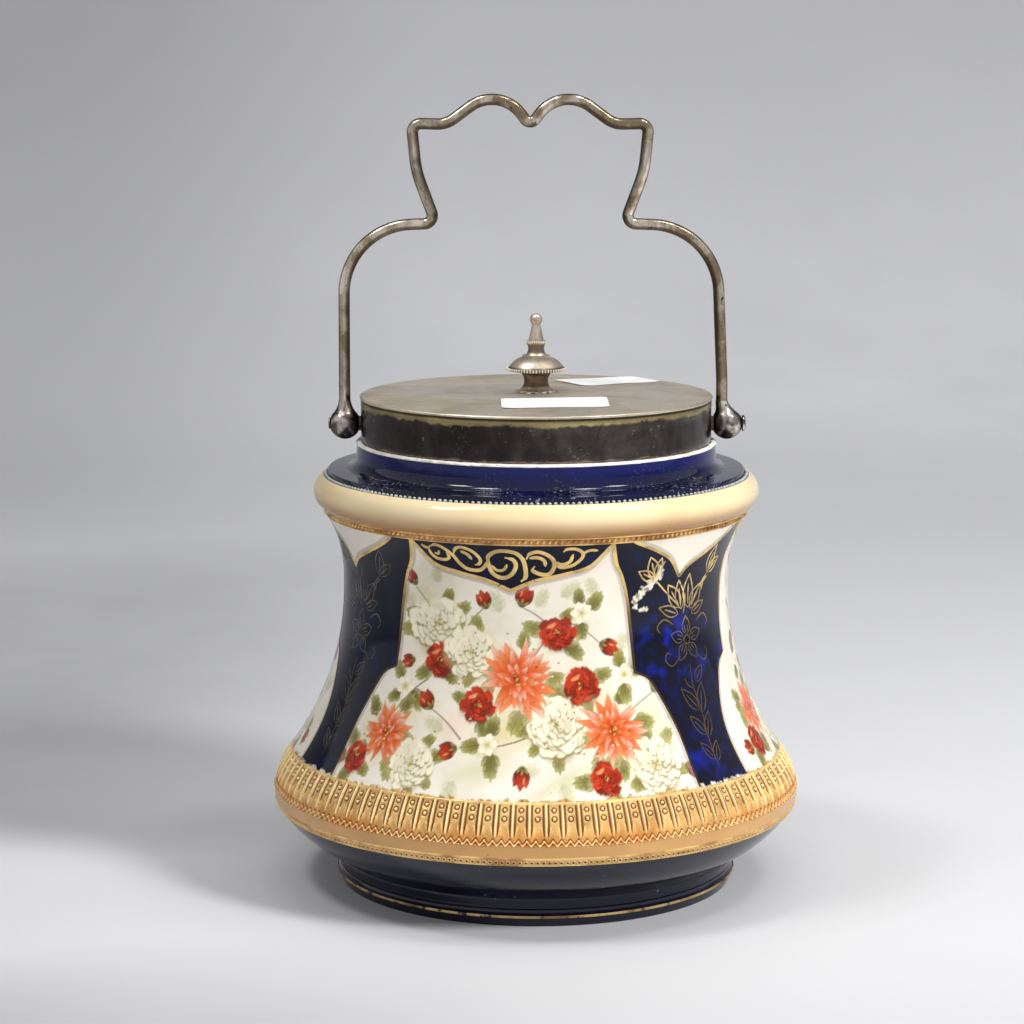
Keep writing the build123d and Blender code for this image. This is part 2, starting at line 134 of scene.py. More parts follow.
def arc(start, end, radius, count):
    """Points from start to end on an arc; a positive radius bulges to the left of the way."""
    a, b = np.array(start, float), np.array(end, float)
    chord = b - a
    length = hypot(*chord)
    left = np.array((-chord[1], chord[0])) / length
    centre = (a + b) / 2 - left * np.sign(radius) * sqrt(max(radius**2 - length**2 / 4, 0))
    first = np.arctan2(*(a - centre)[::-1])
    turn = np.arctan2(*(b - centre)[::-1]) - first
    turn = (turn + pi) % (2 * pi) - pi
    steps = first + turn * np.linspace(0, 1, count + 1)
    return [(centre[0] + abs(radius) * cos(t), centre[1] + abs(radius) * sin(t)) for t in steps]


def through(start, middle, end, count):
    """Points on the arc through three points."""
    (ax, ay), (bx, by), (cx, cy) = start, middle, end
    twice = 2 * (ax * (by - cy) + bx * (cy - ay) + cx * (ay - by))
    ux = ((ax**2 + ay**2) * (by - cy) + (bx**2 + by**2) * (cy - ay) + (cx**2 + cy**2) * (ay - by)) / twice
    uy = ((ax**2 + ay**2) * (cx - bx) + (bx**2 + by**2) * (ax - cx) + (cx**2 + cy**2) * (bx - ax)) / twice
    radius = hypot(ax - ux, ay - uy)
    side = (cx - ax) * (by - ay) - (cy - ay) * (bx - ax)
    return arc(start, end, radius if side > 0 else -radius, count)


def smooth_path(points, count=12):
    """A flowing path through points, for lines drawn with a brush."""
    points = np.array(points, float)
    before = np.vstack([2 * points[0] - points[1], points[:-1]])
    after = np.vstack([points[1:], 2 * points[-1] - points[-2]])
    path = []
    for k in range(len(points) - 1):
        p0, p1, p2, p3 = before[k], points[k], points[k + 1], after[k + 1]
        for t in np.linspace(0, 1, count, endpoint=False):
            square, cube = (2 * p0 - 5 * p1 + 4 * p2 - p3) * t**2, (3 * p1 - p0 - 3 * p2 + p3) * t**3
            path.append(0.5 * (2 * p1 + (p2 - p0) * t + square + cube))
    path.append(points[-1])
    return np.array(path)


def inset(profile, depth):
    """The profile's line moved to its left side by a depth, without the loops that corners leave."""
    line = np.array(profile, float)
    fine = [line[0]]
    for a, b in zip(line[:-1], line[1:]):
        steps = max(1, int(hypot(*(b - a)) / 0.5))
        fine += [a + (b - a) * k / steps for k in range(1, steps + 1)]
    fine = np.array(fine)
    way = np.gradient(fine, axis=0)
    way /= np.linalg.norm(way, axis=1)[:, None]
    moved = fine + np.c_[-way[:, 1], way[:, 0]] * depth
    apart = np.linalg.norm(moved[:, None, :] - fine[None, :, :], axis=2).min(1)
    kept = moved[apart > depth * 0.97]
    result = [kept[0]]
    for point in kept[1:-1]:
        if hypot(*(point - result[-1])) > 0.8:
            result.append(point)
    return [tuple(p) for p in result] + [tuple(kept[-1])]


def make_mesh(name, points, faces, material, crease):
    """A mesh from points in millimetres, faces turned outwards, smooth but for its creases."""
    mesh = bpy.data.meshes.new(name)
    mesh.from_pydata((np.asarray(points, float) * MM).tolist(), [], faces)
    mesh.materials.append(material)
    mesh.update()
    mesh.calc_loop_triangles()
    corners = np.zeros(len(mesh.loop_triangles) * 3, np.int32)
    mesh.loop_triangles.foreach_get("vertices", corners)
    spots = np.asarray(points, float)[corners].reshape(-1, 3, 3)
    if np.einsum("ij,ij->i", spots[:, 0], np.cross(spots[:, 1], spots[:, 2])).sum() < 0:
        mesh.flip_normals()
    mesh.polygons.foreach_set("use_smooth", np.ones(len(mesh.polygons), bool))
    mesh.set_sharp_from_angle(angle=radians(crease))
    return mesh


def place(name, mesh, body, slot, *replaced):
    """Makes a mesh a piece of the jar: it rides on a body and may stand for CAD nodes; the slot is not used."""
    piece = bpy.data.objects.new(name, mesh)
    bpy.context.scene.collection.objects.link(piece)
    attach(piece, body)
    if replaced:
        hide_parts(*replaced)


def build(name, points, faces, material, body, slot, *replaced, crease=CREASE):
    """Makes a piece of the jar from points in millimetres and faces."""
    place(name, make_mesh(name, points, faces, material, crease), body, slot, *replaced)


def grid_faces(index, flip=False):
    """The quads between the points of a grid, as lists of indices."""
    quads = [index[:-1, :-1], index[:-1, 1:], index[1:, 1:], index[1:, :-1]]
    if flip:
        quads[1:] = quads[:0:-1]
    return np.stack(quads, -1).reshape(-1, 4).tolist()


def turned(profile, segments=256, ripple=None):
    """Points and faces of a closed outline of radii and heights turned round the jar's axis."""
    outline = np.array(profile, float)
    angles = np.linspace(0, 2 * pi, segments, endpoint=False)
    rings, points = [], []
    for radius, height in outline:
        if radius < ON_AXIS:
            rings.append([len(points)])
            points.append((0, 0, height))
            continue
        rings.append(list(range(len(points), len(points) + segments)))
        reach = radius + (ripple(angles, height) if ripple else 0)
        points += np.c_[reach * np.sin(angles), -reach * np.cos(angles), np.full(segments, height)].tolist()
    faces = []
    on_axis = len(rings[0]) == 1
    for a, b in zip(rings, rings[1:] if on_axis else rings[1:] + rings[:1]):
        for k in range(segments):
            n = (k + 1) % segments
            if len(a) == 1 and len(b) == 1:
                break
            if len(a) == 1:
                faces.append((a[0], b[n], b[k]))
            elif len(b) == 1:
                faces.append((a[k], a[n], b[0]))
            else:
                faces.append((a[k], a[n], b[n], b[k]))
    return points, faces


def glaze_ring(name, outside, depth, material):
    """A closed ring of glaze: its outside, and the same line a little further in."""
    build(name, *turned(list(outside) + inset(outside, depth)[::-1], GLAZE_SEGMENTS), material, *POTTERY)


HOOP_SECTION = ((-0.5, -0.6), (-0.5, 0.15), (-0.3, 0.75), (0.0, 1.0), (0.3, 0.75), (0.5, 0.15), (0.5, -0.6))


def hoop(radius, height, width, stand, lean):
    """The outline of a fine raised line that runs round the jar, leaning with the surface it lies on."""
    outline = []
    for u, h in HOOP_SECTION:
        x, y = h * stand, u * width
        outline.append((radius + x * cos(lean) - y * sin(lean), height + x * sin(lean) + y * cos(lean)))
    return outline


# ---- the jar's wall

BELT_TOP, WAIST, WAIST_TOP, BAND = 42.2, 94.6, 97.0, 116.3
WAIST_RADIUS, BELT_TOP_RADIUS, BAND_RADIUS = 60.25, 77.0, 65.45


def wall_radius(height):
    """Radius of the painted wall at a height: two sweeps that leave the waist upright."""
    def sweep(flare, rise, drop):
        radius = (flare**2 + rise**2) / (2 * flare)
        return radius - np.sqrt(radius**2 - drop**2)
    low = sweep(BELT_TOP_RADIUS - WAIST_RADIUS, WAIST - BELT_TOP, np.clip(WAIST - height, 0, WAIST - BELT_TOP))
    high = sweep(BAND_RADIUS - WAIST_RADIUS, BAND - WAIST_TOP, np.clip(height - WAIST_TOP, 0, BAND - WAIST_TOP))
    return WAIST_RADIUS + low + high


def on_wall(angles, heights, stand=0.0):
    """Points on the wall at angles from the front, to the right, standing off it by a little."""
    heights = np.asarray(heights, float)
    slope = (wall_radius(heights + 0.05) - wall_radius(heights - 0.05)) / 0.1
    level = 1 / np.sqrt(1 + slope**2)
    radii = wall_radius(heights) + stand * level
    spots = radii * np.sin(angles), -radii * np.cos(angles), heights - stand * slope * level + 0 * angles
    return np.stack(spots, -1)


FINE_SECTION = ((-0.5, -1.0), (-0.32, 0.75), (0.32, 0.75), (0.5, -1.0))
BROAD_SECTION = ((-0.5, -1.0), (-0.44, 0.55), (-0.22, 1.0), (0.22, 1.0), (0.44, 0.55), (0.5, -1.0))


def ribbon(path, widths, stand, points, faces, fine=False):
    """Adds a closed raised line to points and faces. The path is angle in degrees and height."""
    angles, heights = np.radians(path[:, 0]), path[:, 1]
    middle = on_wall(angles, heights)
    normal = on_wall(angles, heights, 1.0) - middle
    way = np.gradient(middle, axis=0)
    side = np.cross(normal, way)
    side /= np.linalg.norm(side, axis=1)[:, None] + 1e-9
    section = FINE_SECTION if fine else BROAD_SECTION
    first, size = len(points), len(section)
    widths = np.broadcast_to(widths, len(path))
    for k in range(len(path)):
        for across, up in section:
            points.append(tuple(middle[k] + side[k] * across * widths[k] + normal[k] * up * stand))
    for k in range(len(path) - 1):
        for j in range(size):
            a, b = first + k * size + j, first + k * size + (j + 1) % size
            faces.append((a, b, b + size, a + size))
    faces.append(tuple(first + j for j in reversed(range(size))))
    faces.append(tuple(first + (len(path) - 1) * size + j for j in range(size)))


# ---- the layout of pilasters and lambrequins

PILASTERS = (-62.5, 47.5, 172.5)
PILASTER_EDGE = ((27.5, 116.2), (25.6, 109.5), (23.2, 104.9), (21.3, 98.4), (20.1, 88), (19.6, 76.4))
PILASTER_FOOT = ((19.6, 76.4), (15.2, 73.7), (11.9, 67.3), (9.4, 60), (8.4, 52.7), (8.3, 42.4))
CUSP_LEFT = ((-21.5, 116.2), (-18.5, 114.8), (-13.3, 112.4), (-7.4, 108.9), (-3, 103.2))
CUSP_RIGHT = ((-3, 103.2), (0.5, 106.3), (7.0, 109.1), (13.5, 111.9), (18.5, 114.6), (20.5, 116.2))
LAMBREQUIN = ((27.3, 115.8), (22, 109.3), (14.8, 106.9), (7, 105.0), (0, 101.9))
LAMBREQUIN_HALF_WIDTH = 27.5
FAR_ABOVE = 999


def pilaster_edge(side):
    """One gilt edge of a pilaster, top to bottom, with the corner where it steps in."""
    upper, foot = smooth_path(PILASTER_EDGE), smooth_path(PILASTER_FOOT)
    return np.vstack([upper[:-1], foot]) * (side, 1)


def panels():
    """Middle and half width in degrees of each printed panel, between the pilasters."""
    turns = list(PILASTERS) + [PILASTERS[0] + 360]
    return [((a + b) / 2, (b - a) / 2) for a, b in zip(turns, turns[1:])]


def lambrequin_edge(half_width):
    """The gilt lower edge of a lambrequin, left to right, stretched to its panel."""
    stretch = (half_width - PILASTER_EDGE[0][0]) / LAMBREQUIN_HALF_WIDTH
    right = smooth_path(LAMBREQUIN)[::-1]
    return np.vstack([(right * (-1, 1))[::-1][:-1], right]) * (stretch, 1)


def cobalt_cover(angles, heights, margin=0.0):
    """How far each point of the wall lies in cobalt, 0 to 1, or within a margin of it, for angles in degrees."""
    turn = angles[None, :]
    rise = heights[:, None]
    cover = np.zeros((len(heights), len(angles)))
    scale = np.radians(wall_radius(rise))
    edge = pilaster_edge(1)[::-1]
    half = np.interp(heights, edge[:, 1], edge[:, 0])[:, None]
    cusp = np.vstack([smooth_path(CUSP_LEFT)[:-1], smooth_path(CUSP_RIGHT)])
    for centre in PILASTERS:
        off = (turn - centre + 180) % 360 - 180
        inside = ((half - np.abs(off)) * scale + margin) / 0.35
        below = (np.interp(off, cusp[:, 0], cusp[:, 1]) + margin - rise) / 0.3
        below = np.where((off < cusp[0, 0]) | (off > cusp[-1, 0]), 1, below)
        cover = np.maximum(cover, np.clip(np.minimum(inside, below) + 0.5, 0, 1))
    for centre, half_width in panels():
        off = (turn - centre + 180) % 360 - 180
        line = lambrequin_edge(half_width)
        above = (rise + margin - np.interp(off, line[:, 0], line[:, 1], FAR_ABOVE, FAR_ABOVE)) / 0.3
        cover = np.maximum(cover, np.clip(above + 0.5, 0, 1))
    return cover


def grain(across, up, size, seed=0.0):
    """Smooth random values from 0 to 1, with cells of one size."""
    i, j = np.floor(across / size), np.floor(up / size)
    u, v = across / size - i, up / size - j
    u, v = u * u * (3 - 2 * u), v * v * (3 - 2 * v)

    def corner(right, above):
        wild = np.sin((i + right) * 127.1 + (j + above) * 311.7 + seed * 74.7) * 43758.5453
        return wild - np.floor(wild)

    return (corner(0, 0) * (1 - u) + corner(1, 0) * u) * (1 - v) + (corner(0, 1) * (1 - u) + corner(1, 1) * u) * v


CHIP_SPOT = (35.4, 103.2)
CHIP = ((2.0, 4.8, 0.7), (0.9, 0.9, 1.6), (-3.2, -2.2, 1.3), (-7.4, -6.0, 0.9), (-6.2, -8.2, 0.35), (-2.9, -9.0, 0.2))


def chipped(angles, heights):
    """Where the cobalt has come away, 0 to 1: a ragged smear on the right pilaster, and crumbs along the belt."""
    turn, rise = np.meshgrid(angles, heights)
    across, up = np.radians(turn - CHIP_SPOT[0]) * wall_radius(rise), rise - CHIP_SPOT[1]
    reach = np.full(turn.shape, -9.0)
    for (x0, y0, w0), (x1, y1, w1) in zip(CHIP, CHIP[1:]):
        t = np.clip(((across - x0) * (x1 - x0) + (up - y0) * (y1 - y0)) / ((x1 - x0) ** 2 + (y1 - y0) ** 2), 0, 1)
        reach = np.maximum(reach, w0 + (w1 - w0) * t - np.hypot(across - x0 - t * (x1 - x0), up - y0 - t * (y1 - y0)))
    fine, coarse = grain(across, up, 0.55, 1.0), grain(across, up, 1.3, 2.0)
    smear = np.clip((reach + 1.5 * (coarse - 0.45) + 1.1 * (fine - 0.5)) / 0.35, 0, 1)
    edge = 1.5 * grain(across, rise, 1.5, 3.0) + 0.9 * grain(across, rise, 0.6, 4.0) - 0.75
    crumbs = np.clip((BELT_TOP + edge - rise) / 0.3, 0, 1)
    return smear, crumbs, grain(across, up, 0.8, 5.0)


# ---- the printed flowers

# The purple-grey among these is the painted shadow beside the gilt outlines.
(
    IVORY, DEEP_ORANGE, ORANGE, SALMON, BLUSH, DEEP_RED, RED, PETAL_WHITE, PETAL_SHADE, PETAL_DEEP, POLLEN,
    OLIVE, YELLOW_GREEN, BROWN, GREY_GREEN, STRAW, GILT_SHADOW, CHALK, GILT_CRUMB,
) = (np.array(linear(*rgb)) for rgb in (
    (240, 232, 216), (178, 54, 22), (226, 96, 38), (244, 160, 104), (249, 214, 186), (112, 24, 12),
    (184, 56, 28), (253, 244, 216), (214, 202, 156), (142, 124, 74), (206, 178, 84), (136, 130, 66),
    (188, 188, 110), (88, 58, 34), (206, 204, 160), (230, 212, 158), (150, 132, 128), (228, 222, 204),
    (206, 168, 108),
))
FULL_TURN = 6.28


class Print:
    """A flower print on part of the wall: a colour at each crossing of angles and heights."""

    def __init__(self, angles, heights, seed):
        self.angles = angles
        self.heights = heights
        self.radii = wall_radius(heights)
        self.colour = np.tile(IVORY, (len(heights), len(angles), 1))
        self.dice = np.random.default_rng(seed)

    def window(self, spot, reach):
        """The part of the print round a spot, with distances across and up in millimetres."""
        angle, height = spot
        columns = np.nonzero(np.abs(self.angles - angle) * wall_radius(np.array(height)) < reach * 1.3)[0]
        rows = np.nonzero(np.abs(self.heights - height) < reach)[0]
        if not len(columns) or not len(rows):
            return None
        block = (slice(rows[0], rows[-1] + 1), slice(columns[0], columns[-1] + 1))
        across = (self.angles[block[1]][None, :] - angle) * self.radii[block[0]][:, None]
        up = np.repeat((self.heights[block[0]] - height)[:, None], across.shape[1], 1)
        return block, across, up

    def lay(self, block, colour, cover):
        """Lays a colour over part of the print as far as the cover goes."""
        cover = np.clip(cover, 0, 1)[..., None]
        self.colour[block] = self.colour[block] * (1 - cover) + colour * cover

    def wash(self, spot, size, turn, colour, strength, softness=1.0):
        """A soft oval of thin colour."""
        found = self.window(spot, 1.6 * max(size))
        if found is None:
            return
        block, across, up = found
        x = (across * cos(turn) + up * sin(turn)) / size[0]
        y = (up * cos(turn) - across * sin(turn)) / size[1]
        wobble = 0.1 * np.sin(4.3 * x + 2.2 * y + across[0, 0]) + 0.08 * np.sin(6.1 * y - 3.4 * x)
        self.lay(block, colour, strength * np.clip((1 + wobble - np.hypot(x, y)) / (0.5 * softness), 0, 1))

    def petal(self, spot, turn, length, width, shades, cover, fullness, veins=0.35, bend=0.0):
        """One petal from its root: dark root, light tip, streaks and a darker rim."""
        found = self.window(spot, 1.1 * length + width)
        if found is None:
            return
        block, across, up = found
        along = (across * cos(turn) + up * sin(turn)) / length
        beside = (up * cos(turn) - across * sin(turn)) / width - bend * along**2
        t = np.clip(along, 0, 1)
        half = np.sin(pi * t**fullness) ** 0.8 * 0.5 + 1e-4
        inside = np.clip((half - np.abs(beside)) * width / 0.22, 0, 1) * (along > 0) * (along < 1)
        root, middle, tip = shades
        mix = t[..., None]
        colour = np.where(mix < 0.5, root + (middle - root) * mix * 2, middle + (tip - middle) * (mix * 2 - 1))
        streak = 0.5 + 0.5 * np.sin(beside * 34 + 2.0 * np.sin(6 * t))
        colour = colour * (1 - veins * 0.35 * streak[..., None] * (1 - mix * 0.6))
        colour = colour * (1 + 0.16 * np.clip(beside / (2 * half), -0.5, 0.5)[..., None])
        rim = np.clip(1 - (half - np.abs(beside)) * width / 0.42, 0, 1)[..., None]
        colour = colour * (1 - 0.42 * rim) + root * 0.3 * rim
        self.lay(block, np.clip(colour, 0, 1), inside * cover)

    def line(self, path, widths, colour, cover):
        """A brush line through points of angle and height."""
        path = np.array(path, float)
        middle = path.mean(0)
        radius = wall_radius(np.array(middle[1]))
        found = self.window(tuple(middle), max(np.ptp(path[:, 0]) * radius, np.ptp(path[:, 1])) * 0.75 + 2)
        if found is None:
            return
        block, across, up = found
        flat = np.c_[(path[:, 0] - middle[0]) * radius, path[:, 1] - middle[1]]
        best = np.full(across.shape, -9.0)
        for step, (a, b) in enumerate(zip(flat[:-1], flat[1:])):
            d = b - a
            t = np.clip(((across - a[0]) * d[0] + (up - a[1]) * d[1]) / (d @ d + 1e-9), 0, 1)
            away = np.hypot(across - a[0] - t * d[0], up - a[1] - t * d[1])
            width = widths[0] + (widths[1] - widths[0]) * (step + t) / (len(flat) - 1)
            best = np.maximum(best, width / 2 - away)
        self.lay(block, colour, cover * np.clip(best / 0.2 + 0.5, 0, 1))

    def beside(self, spot, across, up):
        """The spot at distances in millimetres across and up from another."""
        return spot[0] + across / wall_radius(np.array(spot[1])), spot[1] + up

    def away(self, spot, turn, reach):
        """The spot at a reach in millimetres from another, in a direction."""
        return self.beside(spot, reach * cos(turn), reach * sin(turn))

    def dahlia(self, spot, size):
        """A loose dahlia: five rings of narrow curling petals round a knot of pollen."""
        dice = self.dice
        root, middle, tip = DEEP_ORANGE, ORANGE, SALMON
        self.wash(spot, (size * 1.05, size * 0.95), 0, STRAW, 0.5, 1.6)
        self.wash(spot, (size * 0.62, size * 0.6), 0, root, 0.5, 1.2)
        start = dice.uniform(0, FULL_TURN)
        for ring, (count, reach) in enumerate(((17, 1.0), (15, 0.84), (13, 0.66), (10, 0.48), (7, 0.3))):
            for k in range(count):
                turn = start + ring + 2 * pi * (k + 0.5 * (ring % 2)) / count + dice.normal(0, 0.12)
                length = size * reach * dice.uniform(0.74, 1.1)
                end = BLUSH if dice.uniform(0, 1) > 0.5 else tip * dice.uniform(0.85, 1.1)
                shades = (root * dice.uniform(0.7, 1.1), middle * dice.uniform(0.9, 1.12), end)
                width = size * dice.uniform(0.2, 0.3) * (1.05 - 0.1 * ring)
                self.petal(spot, turn, length, width, shades, 0.95, 0.78, 0.5, dice.normal(0, 0.55))
        for k in range(12):
            turn, reach = dice.uniform(0, FULL_TURN), dice.uniform(0, 0.13) * size
            shade = POLLEN if k % 2 else DEEP_RED
            self.wash(self.away(spot, turn, reach), (0.42, 0.42), 0, shade, 0.9)

    def rose(self, spot, size, tones=(PETAL_DEEP, OLIVE, PETAL_SHADE, PETAL_WHITE), spread=(0.86, 1.0)):
        """A full rose: rings of broad lobes, each with its shadow on the ones behind it."""
        dice = self.dice
        deep, dusk, shade, light = tones
        self.wash(spot, (size * 1.16, size * 1.08), 0, STRAW, 0.6, 1.0)
        self.wash(self.beside(spot, 0, -0.3 * size), (size * 1.0, size * 0.85), 0, deep, 0.55, 0.9)
        self.wash(spot, (size * 0.8, size * 0.74), 0, deep, 0.7, 0.8)
        start = dice.uniform(0, FULL_TURN)
        rings = ((11, 0.78, 0.3), (10, 0.62, 0.29), (9, 0.46, 0.25), (7, 0.3, 0.21), (4, 0.14, 0.15))
        for ring, (count, away, lobe) in enumerate(rings):
            for k in range(count):
                turn = start + ring * 0.7 + 2 * pi * k / count + dice.normal(0, 0.13)
                reach = size * away * dice.uniform(0.88, 1.12)
                centre = self.beside(spot, reach * cos(turn), reach * sin(turn) * 0.94)
                wide = size * lobe * dice.uniform(0.85, 1.2)
                under = self.beside(centre, -0.2 * wide * cos(turn), -0.2 * wide * sin(turn) - 0.16 * wide)
                self.wash(under, (wide * 0.95, wide * 1.12), turn, deep if dice.random() < 0.6 else dusk, 0.75, 0.55)
                glow = np.clip(light * dice.uniform(*spread) * (1 - 0.04 * max(ring - 1, 0)), 0, 1)
                self.wash(centre, (wide * 0.72, wide * 0.95), turn, glow, 0.97, 0.45)
                fold = self.away(centre, turn, -0.36 * wide)
                self.wash(fold, (wide * 0.3, wide * 0.6), turn, shade, 0.75, 1.4)
        for k in range(18):
            turn, reach = dice.uniform(0, FULL_TURN), abs(dice.normal(0, 0.12)) * size
            self.wash(self.away(spot, turn, reach), (0.45, 0.36), turn, (POLLEN, dusk, shade)[k % 3], 0.85)

    def camellia(self, spot, size):
        """A small red rose."""
        self.rose(spot, size, (DEEP_RED * 0.45, DEEP_RED * 0.8, DEEP_RED * 1.2, RED * 1.1), (0.4, 1.25))
        lit = self.beside(spot, -0.3 * size, 0.42 * size)
        self.wash(lit, (size * 0.34, size * 0.13), 0.5, SALMON, 0.75, 0.7)

    def bud(self, spot, size, turn):
        """A closed red bud in its green cup."""
        for side in (-0.55, 0.5, 0.0):
            shades = (DEEP_RED * 0.6, DEEP_RED if side else RED, ORANGE if side > 0 else RED)
            self.petal(spot, turn + side * 0.7, size * (1.0 if side else 1.12), size * 0.62, shades, 0.97, 0.8, 0.6)
        lit = self.away(spot, turn + 0.25, size * 0.62)
        self.wash(lit, (size * 0.2, size * 0.07), turn, SALMON, 0.7)
        foot = self.away(spot, turn, -0.1 * size)
        for side in (-1, 0, 1):
            self.petal(foot, turn + side * 0.75, size * 0.5, size * 0.2, (BROWN, OLIVE, YELLOW_GREEN), 0.95, 0.8)

    def leaf(self, spot, turn, length, width, ghost=0.0):
        """A lobed leaf in two tones with a rib, or a faint one in the distance."""
        green = GREY_GREEN if ghost else OLIVE * self.dice.uniform(0.75, 1.15)
        light = GREY_GREEN * 1.08 if ghost else YELLOW_GREEN
        cover = ghost or 0.92
        for k in range(3):
            for side in (-1, 1):
                root = self.away(spot, turn, length * (0.1 + 0.22 * k))
                lobe, reach = turn + side * (0.75 - 0.1 * k), length * (0.5 - 0.06 * k)
                self.petal(root, lobe, reach, width * 0.5, (green * 0.85, green, light), cover * 0.9, 0.9, 0.3)
        bend = self.dice.normal(0, 0.15)
        self.petal(spot, turn, length, width * 0.6, (green * 0.8, green, light), cover, 0.75, 0.4, bend)
        if not ghost:
            self.line([spot, self.away(spot, turn, length * 0.9)], (0.3, 0.12), BROWN, 0.55)

    def stem(self, start, end, sag):
        """A brown stem that sags or rises between its ends."""
        (x, y), (to_x, to_y) = start, end
        path = [(x + (to_x - x) * t, y + (to_y - y) * t + sag * sin(pi * t)) for t in np.linspace(0, 1, 9)]
        self.line(path, (0.55, 0.3), BROWN * 1.5, 0.8)

    def blossom(self, spot, size):
        """A small white blossom with five petals."""
        start = self.dice.uniform(0, FULL_TURN)
        for k in range(5):
            turn = start + 2 * pi * k / 5
            self.petal(spot, turn, size, size * 0.85, (PETAL_SHADE, PETAL_WHITE, PETAL_WHITE), 0.95, 0.95, 0.3)
        self.wash(spot, (size * 0.2, size * 0.2), 0, POLLEN, 0.9)


WASHES = (
    (-18, 85, 18, 13, "straw", 0.5), (8, 66, 24, 15, "yellow", 0.3), (30, 54, 18, 10, "straw", 0.6),
    (-34, 58, 14, 11, "grey", 0.45), (-6, 50, 16, 5, "yellow", 0.4), (18, 90, 11, 9, "grey", 0.45),
    (20, 78, 10, 8, "blush", 0.5), (-14, 62, 10, 7, "blush", 0.5), (14, 47, 14, 4, "yellow", 0.5),
    (0, 60, 16, 7, "ochre", 0.5), (-26, 66, 9, 6, "ochre", 0.45), (24, 68, 9, 6, "ochre", 0.45),
    (-5, 82, 9, 5, "ochre", 0.35), (-27, 100, 8, 5, "grey", 0.35), (38, 62, 9, 9, "yellow", 0.45),
    (-38, 47, 10, 4, "blush", 0.45),
)
GHOST_LEAVES = (
    (-30, 94, 2.2, 9), (14, 100, 0.6, 8), (29, 82, 0.9, 9), (-42, 50, 3.6, 9), (-12, 47, 4.4, 8), (43, 62, 0.4, 9),
    (-22, 103, 1.4, 6), (-3, 95, 1.9, 8), (13, 47, 5.2, 8), (33, 74, 1.2, 8), (-2, 58, 3.6, 9), (7, 97, 1.0, 7),
    (-17, 60, 2.8, 8), (2, 48, 0.4, 9), (24, 100, 2.0, 7), (-10, 68, 2.6, 7),
)
STEMS = (
    ((-16, 84), (-7, 97), 1.5), ((-14, 82), (6, 72), -2.0), ((4, 78), (17, 94), 2.0), ((6, 72), (24, 58), 2.2),
    ((-24, 74), (-36, 58), 2.0), ((24, 58), (40, 70), 1.0), ((10, 62), (-12, 56), -2.0), ((30, 56), (45, 49), -1.0),
    ((17, 92), (25, 86), 0.6), ((-12, 58), (-22, 66), 0.8), ((12, 90), (3, 97), 0.9), ((-22, 92), (-29, 101), 0.4),
)
BUDS = (
    (3, 97.5, 6.0, 1.3), (25.5, 85.5, 5.6, 5.9), (-7, 96.5, 5.2, 1.9), (-29, 102, 4.8, 2.2), (-21.5, 66, 5.8, 2.4),
    (40.5, 70.5, 5.8, 0.9), (-45, 47.5, 5.0, 2.9), (4, 51, 5.6, 4.6), (-29, 79, 4.6, 3.4), (45, 48.5, 5.0, 5.8),
    (-13, 55.5, 5.6, 3.5),
)
FLOWERS = (
    ("blossom", -31, 71, 3.4), ("dahlia", -34, 57, 10.5), ("rose", -22, 91, 9.5), ("camellia", -20.5, 80, 5.2),
    ("rose", -11.5, 83, 8.2), ("rose", -24, 50, 7.6), ("camellia", -41, 49, 4.6), ("camellia", 13, 89, 5.6),
    ("blossom", 20, 95, 3.6), ("rose", 12.5, 62.5, 9.6), ("dahlia", 2, 75.5, 13.0), ("camellia", -8.5, 68, 5.4),
    ("camellia", 19.5, 73.5, 5.6), ("blossom", -5, 57, 3.4), ("rose", 37, 50.5, 8.4), ("dahlia", 27, 60.5, 11.5),
    ("camellia", 23.5, 47.5, 5.0), ("blossom", 32, 76, 3.4),
)
SPLASHES = ((-16, 86), (2, 74), (24, 58), (-34, 56), (12, 60))
LEAVES_ROUND = {"dahlia": 5, "rose": 6, "camellia": 3, "blossom": 3}


def paint_garland(printed):
    """The garland of a panel, from the upper left down to the lower right."""
    dice = printed.dice
    tones = {"straw": STRAW, "yellow": YELLOW_GREEN, "grey": GREY_GREEN, "blush": BLUSH, "ochre": POLLEN * 1.15}
    for degrees, height, wide, tall, tone, strength in WASHES:
        printed.wash((radians(degrees), height), (wide, tall), 0.3, tones[tone], strength, 2.0)
    for degrees, height, turn, length in GHOST_LEAVES:
        printed.leaf((radians(degrees), height), turn, length, 5.0, ghost=0.45)
    for start, end, sag in STEMS:
        printed.stem((radians(start[0]), start[1]), (radians(end[0]), end[1]), sag)
    for kind, degrees, height, size in FLOWERS:
        first = dice.uniform(0, FULL_TURN)
        for k in range(LEAVES_ROUND[kind]):
            turn = first + 2 * pi * k / LEAVES_ROUND[kind] + dice.normal(0, 0.3)
            root = printed.away((radians(degrees), height), turn, size * 0.66)
            printed.leaf(root, turn + dice.normal(0, 0.35), dice.uniform(5.5, 8.5), dice.uniform(4.0, 5.4))
    for degrees, height, size, turn in BUDS:
        printed.bud((radians(degrees), height), size, turn)
    for kind, degrees, height, size in FLOWERS:
        getattr(printed, kind)((radians(degrees), height), size)
    for _ in range(90):
        degrees, height = SPLASHES[dice.integers(0, len(SPLASHES))]
        spot = (radians(degrees + dice.normal(0, 10)), height + dice.normal(0, 9))
        printed.wash(spot, (0.4, 0.36), 0, (BROWN, RED, STRAW, PETAL_WHITE)[dice.integers(0, 4)], 0.8)


# ---- node helpers

def put(tree, kind, inputs=(), **settings):
    """Adds a node with its settings, and fills or links its inputs."""
    node = tree.nodes.new(kind)
    for key, value in settings.items():
        setattr(node, key, value)
    for key, value in dict(inputs).items():
        if isinstance(value, bpy.types.NodeSocket):
            tree.links.new(value, node.inputs[key])
        else:
            node.inputs[key].default_value = value
    return node


